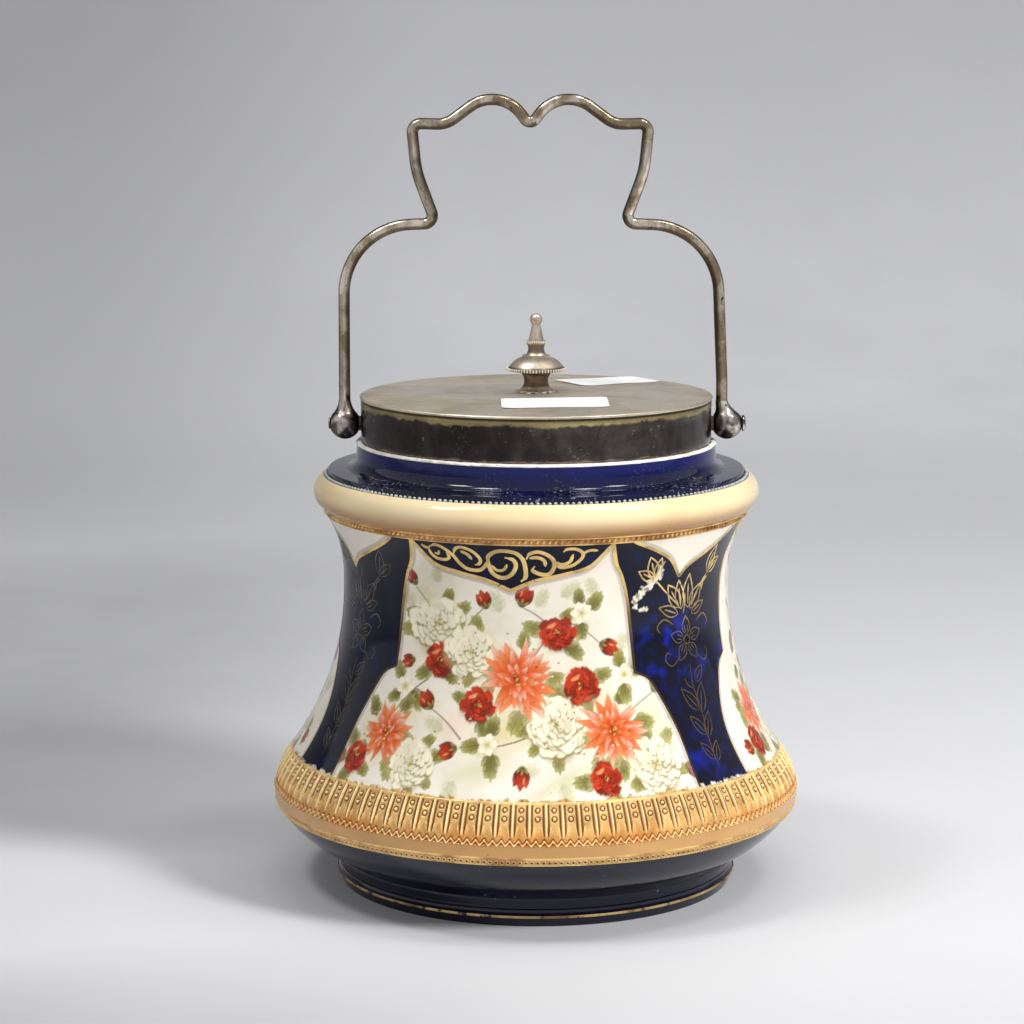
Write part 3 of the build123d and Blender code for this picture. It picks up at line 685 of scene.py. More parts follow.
def fill(node, name, value):
    """Sets or links the input of that name that a node's mode has enabled."""
    socket = next(s for s in node.inputs if s.name == name and s.enabled)
    if isinstance(value, bpy.types.NodeSocket):
        node.id_data.links.new(value, socket)
    else:
        socket.default_value = value


def enabled_output(node):
    """The output that a node's mode has enabled."""
    return next(s for s in node.outputs if s.enabled)


def tree_of(*values):
    """The node tree of the first socket among some values."""
    return next(v.id_data for v in values if isinstance(v, bpy.types.NodeSocket))


def opaque(colour):
    """Numbers of a colour get full cover; a socket stays as it is."""
    return colour if isinstance(colour, bpy.types.NodeSocket) else (*colour, 1.0)


def scaled(rgb, factor):
    return tuple(min(c * factor, 1.0) for c in rgb)


def noise(vector, scale, detail=3.0, roughness=0.55, distortion=0.0):
    inputs = {"Vector": vector, "Scale": scale, "Detail": detail, "Roughness": roughness, "Distortion": distortion}
    return put(tree_of(vector), "ShaderNodeTexNoise", inputs).outputs["Fac"]


def between(value, low, high, to_low=0.0, to_high=1.0):
    """A value's range from low to high, spread smoothly over another."""
    inputs = {"Value": value, "From Min": low, "From Max": high, "To Min": to_low, "To Max": to_high}
    return put(tree_of(value), "ShaderNodeMapRange", inputs, interpolation_type="SMOOTHSTEP").outputs["Result"]


def maths(operation, a, b=0.0, clamp=False):
    return put(tree_of(a, b), "ShaderNodeMath", {0: a, 1: b}, operation=operation, use_clamp=clamp).outputs[0]


def times(a, b, clamp=False):
    return maths("MULTIPLY", a, b, clamp)


def plus(a, b, clamp=False):
    return maths("ADD", a, b, clamp)


def minus(a, b):
    return maths("SUBTRACT", a, b)


def blend(factor, a, b, mode="MIX"):
    """Colour a laid over with colour b as far as the factor goes."""
    node = put(tree_of(factor, a, b), "ShaderNodeMix", data_type="RGBA", blend_type=mode, clamp_factor=True)
    for name, value in (("Factor", factor), ("A", opaque(a)), ("B", opaque(b))):
        fill(node, name, value)
    return enabled_output(node)


def stretch(vector, factors):
    return put(tree_of(vector), "ShaderNodeVectorMath", {0: vector, 1: factors}, operation="MULTIPLY").outputs[0]


def split(vector):
    return put(tree_of(vector), "ShaderNodeSeparateXYZ", {0: vector}).outputs


def joined(tree, x=0.0, y=0.0, z=0.0):
    return put(tree, "ShaderNodeCombineXYZ", {0: x, 1: y, 2: z}).outputs[0]


def add_inputs(tree, inputs):
    """Gives a node group its inputs: a number by its default, anything else by its kind of socket."""
    for label, value in inputs.items():
        kind = {float: "NodeSocketFloat", int: "NodeSocketInt"}.get(type(value))
        socket = tree.interface.new_socket(name=label, in_out="INPUT", socket_type=kind or value)
        if kind:
            socket.default_value = value


def made_once(name):
    """Lets every use of a node group share the one of that name, which its function builds the first time."""
    def wrap(build):
        return lambda: bpy.data.node_groups.get(name) or build(name)
    return wrap


def shader_group(name, inputs, outputs):
    """An empty group of shader nodes with named inputs and outputs."""
    group = bpy.data.node_groups.new(name, "ShaderNodeTree")
    add_inputs(group, inputs)
    for label in outputs:
        group.interface.new_socket(name=label, in_out="OUTPUT", socket_type="NodeSocketFloat")
    return group, group.nodes.new("NodeGroupInput").outputs, group.nodes.new("NodeGroupOutput").inputs


def hand_out(group, wanted, *values):
    """Links values to a group's outputs, in order."""
    for value, socket in zip(values, wanted):
        group.links.new(value, socket)
    return group


@made_once("Patina")
def patina_group(name):
    """Clouds, fine grain, specks and smears of old plate, with the height they stand."""
    inputs = {"Vector": "NodeSocketVector", "Cloud Scale": 60.0, "Grain Scale": 900.0, "Speck Amount": 0.3}
    group, given, wanted = shader_group(name, inputs, ("Cloud", "Grain", "Specks", "Smears", "Height"))
    cloud = noise(given["Vector"], given["Cloud Scale"], 5.0, 0.6, 0.6)
    grain = noise(given["Vector"], given["Grain Scale"], 3.0, 0.6)
    stretched = stretch(given["Vector"], (1.0, 1.0, 0.18))
    smears = noise(stretched, times(given["Cloud Scale"], 3.0), 4.0, 0.6)
    spots = noise(given["Vector"], times(given["Grain Scale"], 0.55), 2.0, 0.5)
    edge = minus(0.78, times(given["Speck Amount"], 0.2))
    specks = between(spots, edge, plus(edge, 0.05))
    height = plus(times(grain, 0.5), times(specks, -0.5))
    return hand_out(group, wanted, between(cloud, 0.36, 0.66), grain, specks, between(smears, 0.38, 0.64), height)


@made_once("Firing")
def firing_group(name):
    """What a kiln leaves in glaze: slow pools, pinholes and the soft waves of its surface."""
    inputs = {"Vector": "NodeSocketVector", "Pool Scale": 90.0, "Pinhole Amount": 0.2}
    group, given, wanted = shader_group(name, inputs, ("Pools", "Pinholes", "Dust", "Height"))
    pools = noise(given["Vector"], given["Pool Scale"], 3.0, 0.5, 0.4)
    cells = put(group, "ShaderNodeTexVoronoi", {"Vector": given["Vector"], "Scale": 420.0}).outputs["Distance"]
    rare = noise(given["Vector"], 130.0, 2.0)
    reach = times(given["Pinhole Amount"], between(rare, 0.5, 0.7))
    holes = between(cells, 0.0, plus(reach, 0.001), 1.0, 0.0)
    dust = between(noise(given["Vector"], 1500.0, 2.0), 0.7, 0.76)
    height = minus(noise(given["Vector"], 160.0, 2.0), times(holes, 0.4))
    return hand_out(group, wanted, between(pools, 0.35, 0.68), holes, dust, height)


@made_once("Rubbed")
def rubbed_group(name):
    """Where gilding has been rubbed: ragged bare patches, thin places and a brushed height."""
    inputs = {"Vector": "NodeSocketVector", "Wear": 0.3, "Scale": 500.0}
    group, given, wanted = shader_group(name, inputs, ("Bare", "Thin", "Height"))
    rough = noise(given["Vector"], given["Scale"], 5.0, 0.7)
    low = minus(0.72, times(given["Wear"], 0.3))
    thin = noise(given["Vector"], times(given["Scale"], 0.25), 3.0)
    return hand_out(group, wanted, between(rough, low, plus(low, 0.06)), between(thin, 0.38, 0.68), rough)


class Finish:
    """A material under way: its tree, its object coordinates and its Principled shader."""

    def __init__(self, name):
        self.material = bpy.data.materials.new(name)
        self.material.use_nodes = True
        self.tree = self.material.node_tree
        self.shader = self.tree.nodes["Principled BSDF"]
        self.spot = put(self.tree, "ShaderNodeTexCoord").outputs["Object"]
        self.height = split(self.spot)["Z"]

    def level(self, low, high, to_low=0.0, to_high=1.0):
        """How far a point has come from one height to another, in millimetres."""
        return between(self.height, low * MM, high * MM, to_low, to_high)

    def own(self, name, output):
        """One of the mesh's own attributes."""
        return put(self.tree, "ShaderNodeAttribute", attribute_name=name).outputs[output]

    def effect(self, group, **values):
        """Adds a shared group of nodes with its inputs set, and returns its outputs."""
        node = put(self.tree, "ShaderNodeGroup", node_tree=group)
        self.tree.links.new(self.spot, node.inputs["Vector"])
        for key, value in values.items():
            node.inputs[key.replace("_", " ").title()].default_value = value
        return node.outputs

    def set(self, **values):
        """Sets or links inputs of the Principled shader."""
        for key, value in values.items():
            socket = self.shader.inputs[key.replace("_", " ").title()]
            if isinstance(value, bpy.types.NodeSocket):
                self.tree.links.new(value, socket)
            else:
                socket.default_value = value

    def bump(self, height, distance, strength):
        node = put(self.tree, "ShaderNodeBump", {"Height": height, "Distance": distance, "Strength": strength})
        self.tree.links.new(node.outputs[0], self.shader.inputs["Normal"])


def glazed(name, base, patch, roughness, pool_scale, pinholes, patchy, pit):
    """A glossy glaze with slow patches of a second colour, pinholes and dust."""
    finish = Finish(name)
    fired = finish.effect(firing_group(), pool_scale=pool_scale, pinhole_amount=pinholes)
    colour = blend(times(fired["Pools"], patchy), base, patch)
    colour = blend(times(fired["Pinholes"], 0.85), colour, pit)
    rough = between(fired["Dust"], 0, 1, roughness, roughness + 0.25)
    finish.set(base_color=colour, roughness=rough)
    finish.bump(fired["Height"], 0.00012, 0.35)
    return finish.material


def painted_glaze():
    """The printed wall: its own colours under a clear glaze, with blue pools in the cobalt that are partly painted
    light, fading towards the shaded left side.
    """
    finish = Finish("printed_wall_glaze")
    painted, blue = finish.own("print", "Color"), finish.own("cobalt", "Fac")
    fired = finish.effect(firing_group(), pool_scale=150.0, pinhole_amount=0.12)
    pools = noise(finish.spot, 230.0, 2.0, 0.4, 0.3)
    slow = noise(finish.spot, 48.0, 2.0)
    # Blue pools of the cobalt glaze, partly painted light.
    lit = times(between(pools, 0.42, 0.76), between(slow, 0.4, 0.66))
    middle = times(finish.level(66, 76), finish.level(86, 97, 1.0, 0.0))
    foot = finish.level(48, 60, 0.5, 0.0)
    lit = times(lit, plus(maths("MAXIMUM", middle, foot), 0.14, clamp=True))
    # Painted light: the blue pools fade out towards the jar's left side, the side in shade.
    lit = times(lit, between(split(finish.spot)["X"], -48 * MM, -20 * MM, 0.2, 1.0))
    blotch = noise(finish.spot, 70.0, 3.0)
    ground = blend(between(blotch, 0.45, 0.75, 0.0, 0.5), painted, scaled(glaze().ivory, 0.93), "MULTIPLY")
    deep = blend(lit, glaze().cobalt, glaze().cobalt_light)
    colour = blend(blue, ground, deep)
    colour = blend(times(fired["Pinholes"], 0.6), colour, (0.12, 0.08, 0.05))
    finish.set(base_color=colour, roughness=between(fired["Dust"], 0, 1, 0.1, 0.3))
    finish.shader.inputs["Specular IOR Level"].default_value = 0.25
    finish.bump(fired["Height"], 0.0001, 0.3)
    return finish.material


def gilding(name, bright, thin, under, wear, scale, roughness=0.3, metal=0.55, fade=None):
    """Fired gold, brown where thin and bare where rubbed; fade gives the heights where it darkens and how far."""
    finish = Finish(name)
    rubbed = finish.effect(rubbed_group(), wear=wear, scale=scale)
    colour = blend(rubbed["Thin"], bright, thin)
    bare = rubbed["Bare"]
    if fade:
        low = finish.level(fade[0], fade[1], 1.0, 0.0)
        colour = blend(times(low, fade[2]), colour, scaled(gilt().bronze, 0.32))
    colour = blend(bare, colour, under)
    shine = minus(metal, times(bare, 0.95 * metal))
    rough = between(rubbed["Thin"], 0, 1, roughness, roughness + 0.16)
    finish.set(base_color=colour, metallic=shine, roughness=rough)
    finish.bump(rubbed["Height"], 0.00003, 0.4)
    return finish.material


def plated(
    name, bright, dull, speck_and_shade, cloud_scale, grain_scale=900.0, specks=0.3, rough=(0.22, 0.42), smeared=0.4,
    depth=0.00004, painted_edge_shade=None, under=0.0,
):
    """Worn silver plate: clouds of tarnish, smears, specks and a fine grain. The side setting gives how far a face
    turns off the front or the back before painted shade leaves it dark, and how dark; under darkens the lower and
    inner faces with painted shade. Both stand in for shade and dark reflections."""
    finish = Finish(name)
    aged = finish.effect(patina_group(), cloud_scale=cloud_scale, grain_scale=grain_scale, speck_amount=specks)
    cloud = plus(aged["Cloud"], times(aged["Smears"], smeared), clamp=True)
    colour = blend(cloud, bright, dull)
    # Painted shade: faces turned off the front and back, and the lower and inner faces, are darkened.
    if painted_edge_shade:
        facing = split(put(finish.tree, "ShaderNodeTexCoord").outputs["Normal"])
        wavy = times(noise(finish.spot, 160.0, 3.0), 0.3)
        front = plus(maths("ABSOLUTE", facing["Y"]), minus(wavy, 0.15))
        colour = blend(between(front, painted_edge_shade[0], painted_edge_shade[1], painted_edge_shade[2], 0.0), colour, scaled(speck_and_shade, 0.8))
        right = maths("SIGN", split(finish.spot)["X"])
        outer = plus(times(facing["X"], right), facing["Z"])
        outer = plus(outer, wavy)
        colour = blend(between(outer, -0.5, 0.3, under, 0.0), colour, scaled(speck_and_shade, 1.1))
    colour = blend(aged["Specks"], colour, speck_and_shade)
    finish.set(base_color=colour, metallic=minus(0.96, times(aged["Specks"], 0.5)))
    finish.set(roughness=between(cloud, 0, 1, *rough))
    finish.bump(aged["Height"], depth, 0.5)
    return finish.material


# ---- geometry node trees

def geometry_tree(name, inputs):
    """A geometry node tree with named inputs; returns the tree and what it is given."""
    tree = bpy.data.node_groups.new(name, "GeometryNodeTree")
    add_inputs(tree, inputs)
    tree.interface.new_socket(name="Geometry", in_out="OUTPUT", socket_type="NodeSocketGeometry")
    return tree, tree.nodes.new("NodeGroupInput").outputs


def step_turn(tree, count):
    """The turn of each of a count of even steps round the axis."""
    return maths("DIVIDE", times(put(tree, "GeometryNodeInputIndex").outputs[0], 2 * pi), count)


def round_the_axis(tree, count, radius, height):
    """Points evenly spaced round the jar's axis, and the way each faces."""
    turn = step_turn(tree, count)
    across = times(maths("SINE", turn), radius)
    back = times(times(maths("COSINE", turn), radius), -1.0)
    spot = joined(tree, across, back, height)
    points = put(tree, "GeometryNodePoints", {"Count": count, "Position": spot}).outputs[0]
    return points, joined(tree, z=turn)


def finish_tree(tree, geometry, material):
    """Ends a tree: instances made real, shaded smooth, with their material."""
    real = put(tree, "GeometryNodeRealizeInstances", {0: geometry}).outputs[0]
    real = put(tree, "GeometryNodeSetShadeSmooth", {"Geometry": real}).outputs[0]
    done = put(tree, "GeometryNodeSetMaterial", {"Geometry": real, "Material": material}).outputs[0]
    tree.links.new(done, tree.nodes.new("NodeGroupOutput").inputs[0])


@made_once("Bead Row")
def bead_row_tree(name):
    """A row of oval beads round the axis. Slant turns each bead on the wall, lean tips it outwards."""
    tree, given = geometry_tree(name, {
        "Count": 100, "Radius": 0.05, "Height": 0.1, "Bead Length": 0.001, "Bead Width": 0.001, "Bead Depth": 0.001,
        "Slant": 0.0, "Lean": 0.0, "Unevenness": 0.08, "Seed": 3, "Material": "NodeSocketMaterial",
    })
    points, facing = round_the_axis(tree, given["Count"], given["Radius"], given["Height"])
    bead = put(tree, "GeometryNodeMeshUVSphere", {"Segments": 8, "Rings": 5, "Radius": 0.5}).outputs["Mesh"]
    for change, vector in (
        ("Scale", joined(tree, given["Bead Length"], given["Bead Depth"], given["Bead Width"])),
        ("Rotation", joined(tree, y=given["Slant"])),
        ("Rotation", joined(tree, x=given["Lean"])),
    ):
        bead = put(tree, "GeometryNodeTransform", {"Geometry": bead, change: vector}).outputs[0]
    dice = put(tree, "FunctionNodeRandomValue", data_type="FLOAT")
    for name, value in (("Min", minus(1.0, given["Unevenness"])), ("Max", 1.0), ("Seed", given["Seed"])):
        fill(dice, name, value)
    inputs = {"Points": points, "Instance": bead, "Rotation": facing, "Scale": enabled_output(dice)}
    finish_tree(tree, put(tree, "GeometryNodeInstanceOnPoints", inputs).outputs[0], given["Material"])
    return tree


def ringlet_row_tree():
    """A row of tiny rings that lie on the wall, round the axis."""
    tree, given = geometry_tree("Ringlet Row", {
        "Count": 100, "Radius": 0.05, "Height": 0.1, "Ring Size": 0.001, "Wire Size": 0.0002, "Lean": 0.0,
        "Material": "NodeSocketMaterial",
    })
    points, facing = round_the_axis(tree, given["Count"], given["Radius"], given["Height"])
    loop = put(tree, "GeometryNodeCurvePrimitiveCircle", {"Resolution": 10, "Radius": given["Ring Size"]}).outputs[0]
    wire = put(tree, "GeometryNodeCurvePrimitiveCircle", {"Resolution": 5, "Radius": given["Wire Size"]}).outputs[0]
    ring = put(tree, "GeometryNodeCurveToMesh", {"Curve": loop, "Profile Curve": wire}).outputs[0]
    upright = joined(tree, x=plus(given["Lean"], pi / 2))
    ring = put(tree, "GeometryNodeTransform", {"Geometry": ring, "Rotation": upright}).outputs[0]
    inputs = {"Points": points, "Instance": ring, "Rotation": facing}
    finish_tree(tree, put(tree, "GeometryNodeInstanceOnPoints", inputs).outputs[0], given["Material"])
    return tree


def rib_belt_tree():
    """Repeats one rib of the moulded belt round the axis and joins each rib to the next."""
    tree, given = geometry_tree("Rib Belt", {
        "Rib": "NodeSocketGeometry", "Count": 100, "Weld": RIB_WELD, "Material": "NodeSocketMaterial",
    })
    points = put(tree, "GeometryNodePoints", {"Count": given["Count"]}).outputs[0]
    inputs = {"Points": points, "Instance": given["Rib"], "Rotation": joined(tree, z=step_turn(tree, given["Count"]))}
    ribs = put(tree, "GeometryNodeInstanceOnPoints", inputs).outputs[0]
    real = put(tree, "GeometryNodeRealizeInstances", {0: ribs}).outputs[0]
    whole = put(tree, "GeometryNodeMergeByDistance", {"Geometry": real, "Distance": given["Weld"]}).outputs[0]
    finish_tree(tree, whole, given["Material"])
    return tree


def plain_mesh(carrier):
    """The mesh that an object's modifiers make of it."""
    bpy.context.view_layer.update()
    return bpy.data.meshes.new_from_object(carrier.evaluated_get(bpy.context.evaluated_depsgraph_get()))


def grow(name, tree, start_mesh=None, **values):
    """Runs a geometry node tree with its inputs set and returns the plain mesh it makes."""
    mesh = start_mesh or bpy.data.meshes.new(name + "_seed")
    carrier = bpy.data.objects.new(name + "_grower", mesh)
    bpy.context.scene.collection.objects.link(carrier)
    modifier = carrier.modifiers.new("Grower", "NODES")
    modifier.node_group = tree
    sockets = {item.name: item for item in tree.interface.items_tree if item.in_out == "INPUT"}
    for key, value in values.items():
        modifier[sockets[key.replace("_", " ").title()].identifier] = value
    carrier.update_tag()
    grown = plain_mesh(carrier)
    bpy.data.objects.remove(carrier)
    grown.name = name
    return grown


def bead_row(name, count, radius, height, size, material, body, slot, slant, lean, uneven):
    """A row of beads; the size is a bead's length round the jar, its width up the wall and its depth."""
    mesh = grow(
        name, bead_row_tree(), Count=count, Radius=radius * MM, Height=height * MM, Bead_Length=size[0] * MM,
        Bead_Width=size[1] * MM, Bead_Depth=size[2] * MM, Slant=slant, Lean=lean, Unevenness=uneven,
        Material=material,
    )
    place(name, mesh, body, slot)


# ---- the stage

def lamp(name, spot, size, power, glints):
    """A softbox that looks at the jar: it lights and isn't mirrored, or is only mirrored as a glint."""
    data = bpy.data.lights.new(name, "AREA")
    data.shape = "RECTANGLE"
    data.size, data.size_y = size
    data.energy = power
    softbox = bpy.data.objects.new(name, data)
    softbox.visible_glossy = glints
    softbox.visible_diffuse = not glints
    softbox.location = spot
    x, y, z = np.array(STAGE_MIDDLE) - np.array(spot)
    softbox.rotation_euler = (pi / 2 + np.arctan2(z, hypot(x, y)), 0, np.arctan2(y, x) - pi / 2)
    bpy.context.scene.collection.objects.link(softbox)


STAGE_MIDDLE = (0.0, 0.0, 0.1)
SENSOR_WIDTH, FOCAL_LENGTH = 36, 106.58
CAMERA_SPOT, CAMERA_TILT = (-0.0075, -0.938, 0.26761), 80.801
LIGHTS = (
    ("key", (0.95, -0.72, 0.85), (0.28, 0.28), 16.2), ("fill", (-0.25, -1.35, 0.42), (0.6, 0.6), 4.2),
    ("light_right", (0.62, -0.2, 1.42), (0.34, 0.24), 3.2), ("light_left", (-0.62, -0.26, 1.4), (0.34, 0.24), 5.2),
    ("light_top", (0.15, 0.1, 1.45), (1.2, 1.0), 3.4),
)
GLINTS = (
    ("glint_right", (0.62, -0.2, 1.42), (0.27, 0.6), 9.0), ("glint_left", (-0.62, -0.26, 1.4), (0.27, 0.6), 9.0),
    ("glint_top", (0.15, 0.1, 1.45), (1.2, 1.0), 4.0),
)
SWEEP_FRONT, SWEEP_BEND, SWEEP_TOP, SWEEP_RADIUS, SWEEP_HALF_WIDTH = -2.4, 0.9, 3.2, 0.8, 2.6


def paper():
    """Grey paper with painted light and shade: painted shade to the left of the jar and at its front left, the jar's
    painted shadow beside and behind it, and painted light that leaves it lighter further back and high up.
    """
    finish = Finish("paper_sweep")
    parts = split(finish.spot)
    along = plus(parts["Y"], parts["Z"])
    # Painted light: the paper's tone changes along the sweep, brightest in a band on the floor behind the jar.
    colour = blend(between(along, -0.17, -0.06), linear(205, 205, 207), linear(217, 217, 219))
    for low, high, rgb in ((0.0, 0.5, (213, 213, 215)), (0.6, 1.15, (238, 238, 241)), (1.2, 2.0, (217, 217, 220))):
        colour = blend(between(along, low, high), colour, linear(*rgb))
    # Painted shade towards the left of the jar.
    behind = times(between(parts["X"], -0.34, -0.04, 1.0, 0.0), 0.4)
    # The jar's painted shadow, to its left and behind it.
    beside = times(between(along, 0.0, 0.06), between(along, 0.4, 0.75, 1.0, 0.0))
    beside = times(beside, between(parts["X"], -0.2, 0.02, 0.75, 0.0))
    # Painted shade at the front left.
    before = times(between(along, -0.17, -0.05, 1.0, 0.0), between(parts["X"], -0.2, 0.1, 0.7, 0.0))
    colour = blend(maths("MAXIMUM", behind, maths("MAXIMUM", beside, before)), colour, linear(146, 146, 150))
    mottle = noise(finish.spot, 6.0, 3.0)
    colour = blend(between(mottle, 0.3, 0.7, 0.0, 0.25), colour, linear(212, 212, 214))
    finish.set(base_color=colour, roughness=0.75)
    finish.bump(noise(finish.spot, 260.0, 2.0), 0.0004, 0.15)
    return finish.material


def paper_sweep():
    """The sheet of paper that lies under the jar and rises behind it."""
    line = [(SWEEP_FRONT, 0.0)] + [(y, 0.0) for y in np.linspace(-2.0, SWEEP_BEND, 30)]
    for t in np.linspace(0.05, pi / 2, 24):
        line.append((SWEEP_BEND + SWEEP_RADIUS * sin(t), SWEEP_RADIUS - SWEEP_RADIUS * cos(t)))
    line.append((SWEEP_BEND + SWEEP_RADIUS, SWEEP_TOP))
    across = np.linspace(-SWEEP_HALF_WIDTH, SWEEP_HALF_WIDTH, 27)
    index = np.arange(len(line) * len(across)).reshape(len(line), len(across))
    mesh = bpy.data.meshes.new("paper_sweep")
    mesh.from_pydata([(x, y, z) for y, z in line for x in across], [], grid_faces(index))
    mesh.polygons.foreach_set("use_smooth", np.ones(len(mesh.polygons), bool))
    mesh.materials.append(paper())
    return bpy.data.objects.new("paper_sweep", mesh)


def pale_room():
    """The world: an even backdrop to look at, and a softer light from behind the camera upwards."""
    world = bpy.data.worlds.new("pale_room")
    world.use_nodes = True
    tree = world.node_tree
    tree.nodes.clear()
    rays = put(tree, "ShaderNodeLightPath").outputs
    seen = maths("MAXIMUM", rays["Is Camera Ray"], rays["Is Transmission Ray"])
    seen = maths("MAXIMUM", seen, rays["Is Glossy Ray"])
    parts = split(put(tree, "ShaderNodeTexCoord").outputs["Generated"])
    back = between(plus(parts["Y"], times(parts["Z"], 0.55)), -0.5, 0.75)
    shade = blend(back, (0.05, 0.05, 0.055), (0.5, 0.51, 0.53))
    room, backdrop = (
        put(tree, "ShaderNodeBackground", {"Color": colour, "Strength": 1.0}).outputs[0]
        for colour in (shade, opaque(linear(200, 200, 203)))
    )
    mixed = put(tree, "ShaderNodeMixShader", {0: seen, 1: room, 2: backdrop}).outputs[0]
    tree.links.new(mixed, put(tree, "ShaderNodeOutputWorld").inputs[0])
    return world


class BISCUITJAR_OT_stage(bpy.types.Operator):
    """Set up the camera, the paper sweep under and behind the jar, the softboxes and the pale world"""

    bl_idname = "biscuit_jar.stage"
    bl_label = "Stage"

    def execute(self, context):
        scene = context.scene
        scene.view_settings.view_transform = "Standard"
        lens = bpy.data.cameras.new("studio_camera")
        lens.sensor_width, lens.lens = SENSOR_WIDTH, FOCAL_LENGTH
        camera = bpy.data.objects.new("studio_camera", lens)
        camera.location = CAMERA_SPOT
        camera.rotation_euler = (radians(CAMERA_TILT), 0, 0)
        scene.collection.objects.link(camera)
        scene.camera = camera
        floor = paper_sweep()
        scene.collection.objects.link(floor)
        for row in LIGHTS:
            lamp(*row, glints=False)
        for row in GLINTS:
            lamp(*row, glints=True)
        scene.world = pale_room()
        return {"FINISHED"}


# ---- the jar

STEP_OUTLINE = [(61.8, 0.0), (63.0, 3.1), (62.3, 3.8)]
ROLL_BASE, ROLL_MIDDLE, ROLL_TOP = (66.45, 118.5), (69.5, 123.486), (66.4, 128.497)
RIM_FOOT, RIM_TOP = 144.5, 146.097
RINGLET_BAND = [(81.45, 24.28), (81.75, 24.7), (82.35, 25.8), (82.5, 26.1), (82.51, 26.5)]
FLOOR_TOP, FOOT_HOLLOW = 10.9, 5.5


def underside_line():
    """The stepped underside, from the foot's rim up to the lower bead line."""
    line = list(STEP_OUTLINE) + arc((62.3, 3.8), (62.3, 5.6), 1.1, 8)[1:]
    line += [(62.3, 6.4), (63.3, 8.0), (63.3, 8.8), (68.0, 12.0)]
    return line + arc((68.0, 12.0), (81.5, 24.3), -39, 20)[1:]


def neck_line():
    """The shoulder and neck, from the pearl ledge up to the ledge under the collar."""
    ledge = [(66.4, 128.45), (64.8, 128.47), (64.82, 130.1), (64.7, 130.297)]
    return ledge + arc((59.9, 130.55), (56.15, 134.3), 3.6, 10) + [(55.9, 137.797), (54.0, 137.797)]


def wall_line(depth, heights):
    """The wall's line at a depth behind its face."""
    return [(float(wall_radius(z)) - depth, float(z)) for z in heights]


def clay_line():
    """The clay's closed outline: hollow foot, outside behind the glaze, rim, and the inside down to its floor."""
    line = [(0, FOOT_HOLLOW), (55.6, FOOT_HOLLOW), (56.8, 0.0), (60.9, 0.0), (60.9, 8.0), (63.5, 12.0), (74.5, 18.5)]
    line += [(80.6, 27.0), (80.9, 31.0), (78.8, 37.0), (76.0, 42.0), *wall_line(1.5, np.linspace(43.0, 116.0, 22))]
    line += [(64.5, 118.6), (67.4, 123.5), (64.8, 127.4), (63.4, 128.8), (57.5, 129.6), (54.6, 132.5), (54.2, 137.75)]
    line += [(52.5, 137.797), (52.5, RIM_FOOT)] + through((52.5, RIM_FOOT), (52.03, 145.63), (50.9, RIM_TOP), 6)[1:]
    line += [(49.6, RIM_TOP)] + through((49.6, RIM_TOP), (48.47, 145.63), (48.0, RIM_FOOT), 6)[1:]
    line += [(48.0, 136.0)] + arc((48.3, 133.6), (53.4, 128.4), 6.0, 6)
    line += [(59.6, 123.5), (60.7, 120.5), (60.9, 116.3)]
    line += wall_line(4.6, np.linspace(114, 44, 20)) + [(76.5, 36), (78.2, 28.0), (76.5, 22.5), (69.3, 19.7)]
    return line + [(60.5, FLOOR_TOP), (30, FLOOR_TOP), (0, FLOOR_TOP)]


class BISCUITJAR_OT_clay(bpy.types.Operator):
    """Turn the jar's clay: its inside, rim, foot face and the wall behind the glaze"""

    bl_idname = "biscuit_jar.clay"
    bl_label = "Clay and inside"

    def execute(self, context):
        finish = Finish("clay_and_inner_glaze")
        fired = finish.effect(firing_group(), pool_scale=55.0, pinhole_amount=0.35)
        aged = finish.effect(patina_group(), cloud_scale=30.0, grain_scale=700.0, speck_amount=0.35)
        inner = blend(fired["Pools"], glaze().ivory, scaled(glaze().ivory, 0.86))
        cracks = put(
            finish.tree, "ShaderNodeTexVoronoi", {"Vector": finish.spot, "Scale": 190.0}, feature="DISTANCE_TO_EDGE",
        ).outputs["Distance"]
        crackle = times(between(cracks, 0.0, 0.03, 1.0, 0.0), 0.35)
        inner = blend(crackle, inner, linear(150, 124, 88))
        raw = blend(aged["Cloud"], linear(214, 196, 164), linear(176, 152, 118))
        raw = blend(aged["Specks"], raw, linear(104, 84, 62))
        foot_face = finish.level(0.2, 1.2, 1.0, 0.0)
        under = finish.level(7.5, 9.0, 1.0, 0.0)
        colour = blend(foot_face, inner, raw)
        finish.set(base_color=colour, roughness=plus(times(foot_face, 0.6), 0.14))
        finish.bump(times(aged["Grain"], under), 0.00015, 0.6)
        build("jar_clay", *turned(clay_line()[::-1], 240), finish.material, *POTTERY)
        return {"FINISHED"}


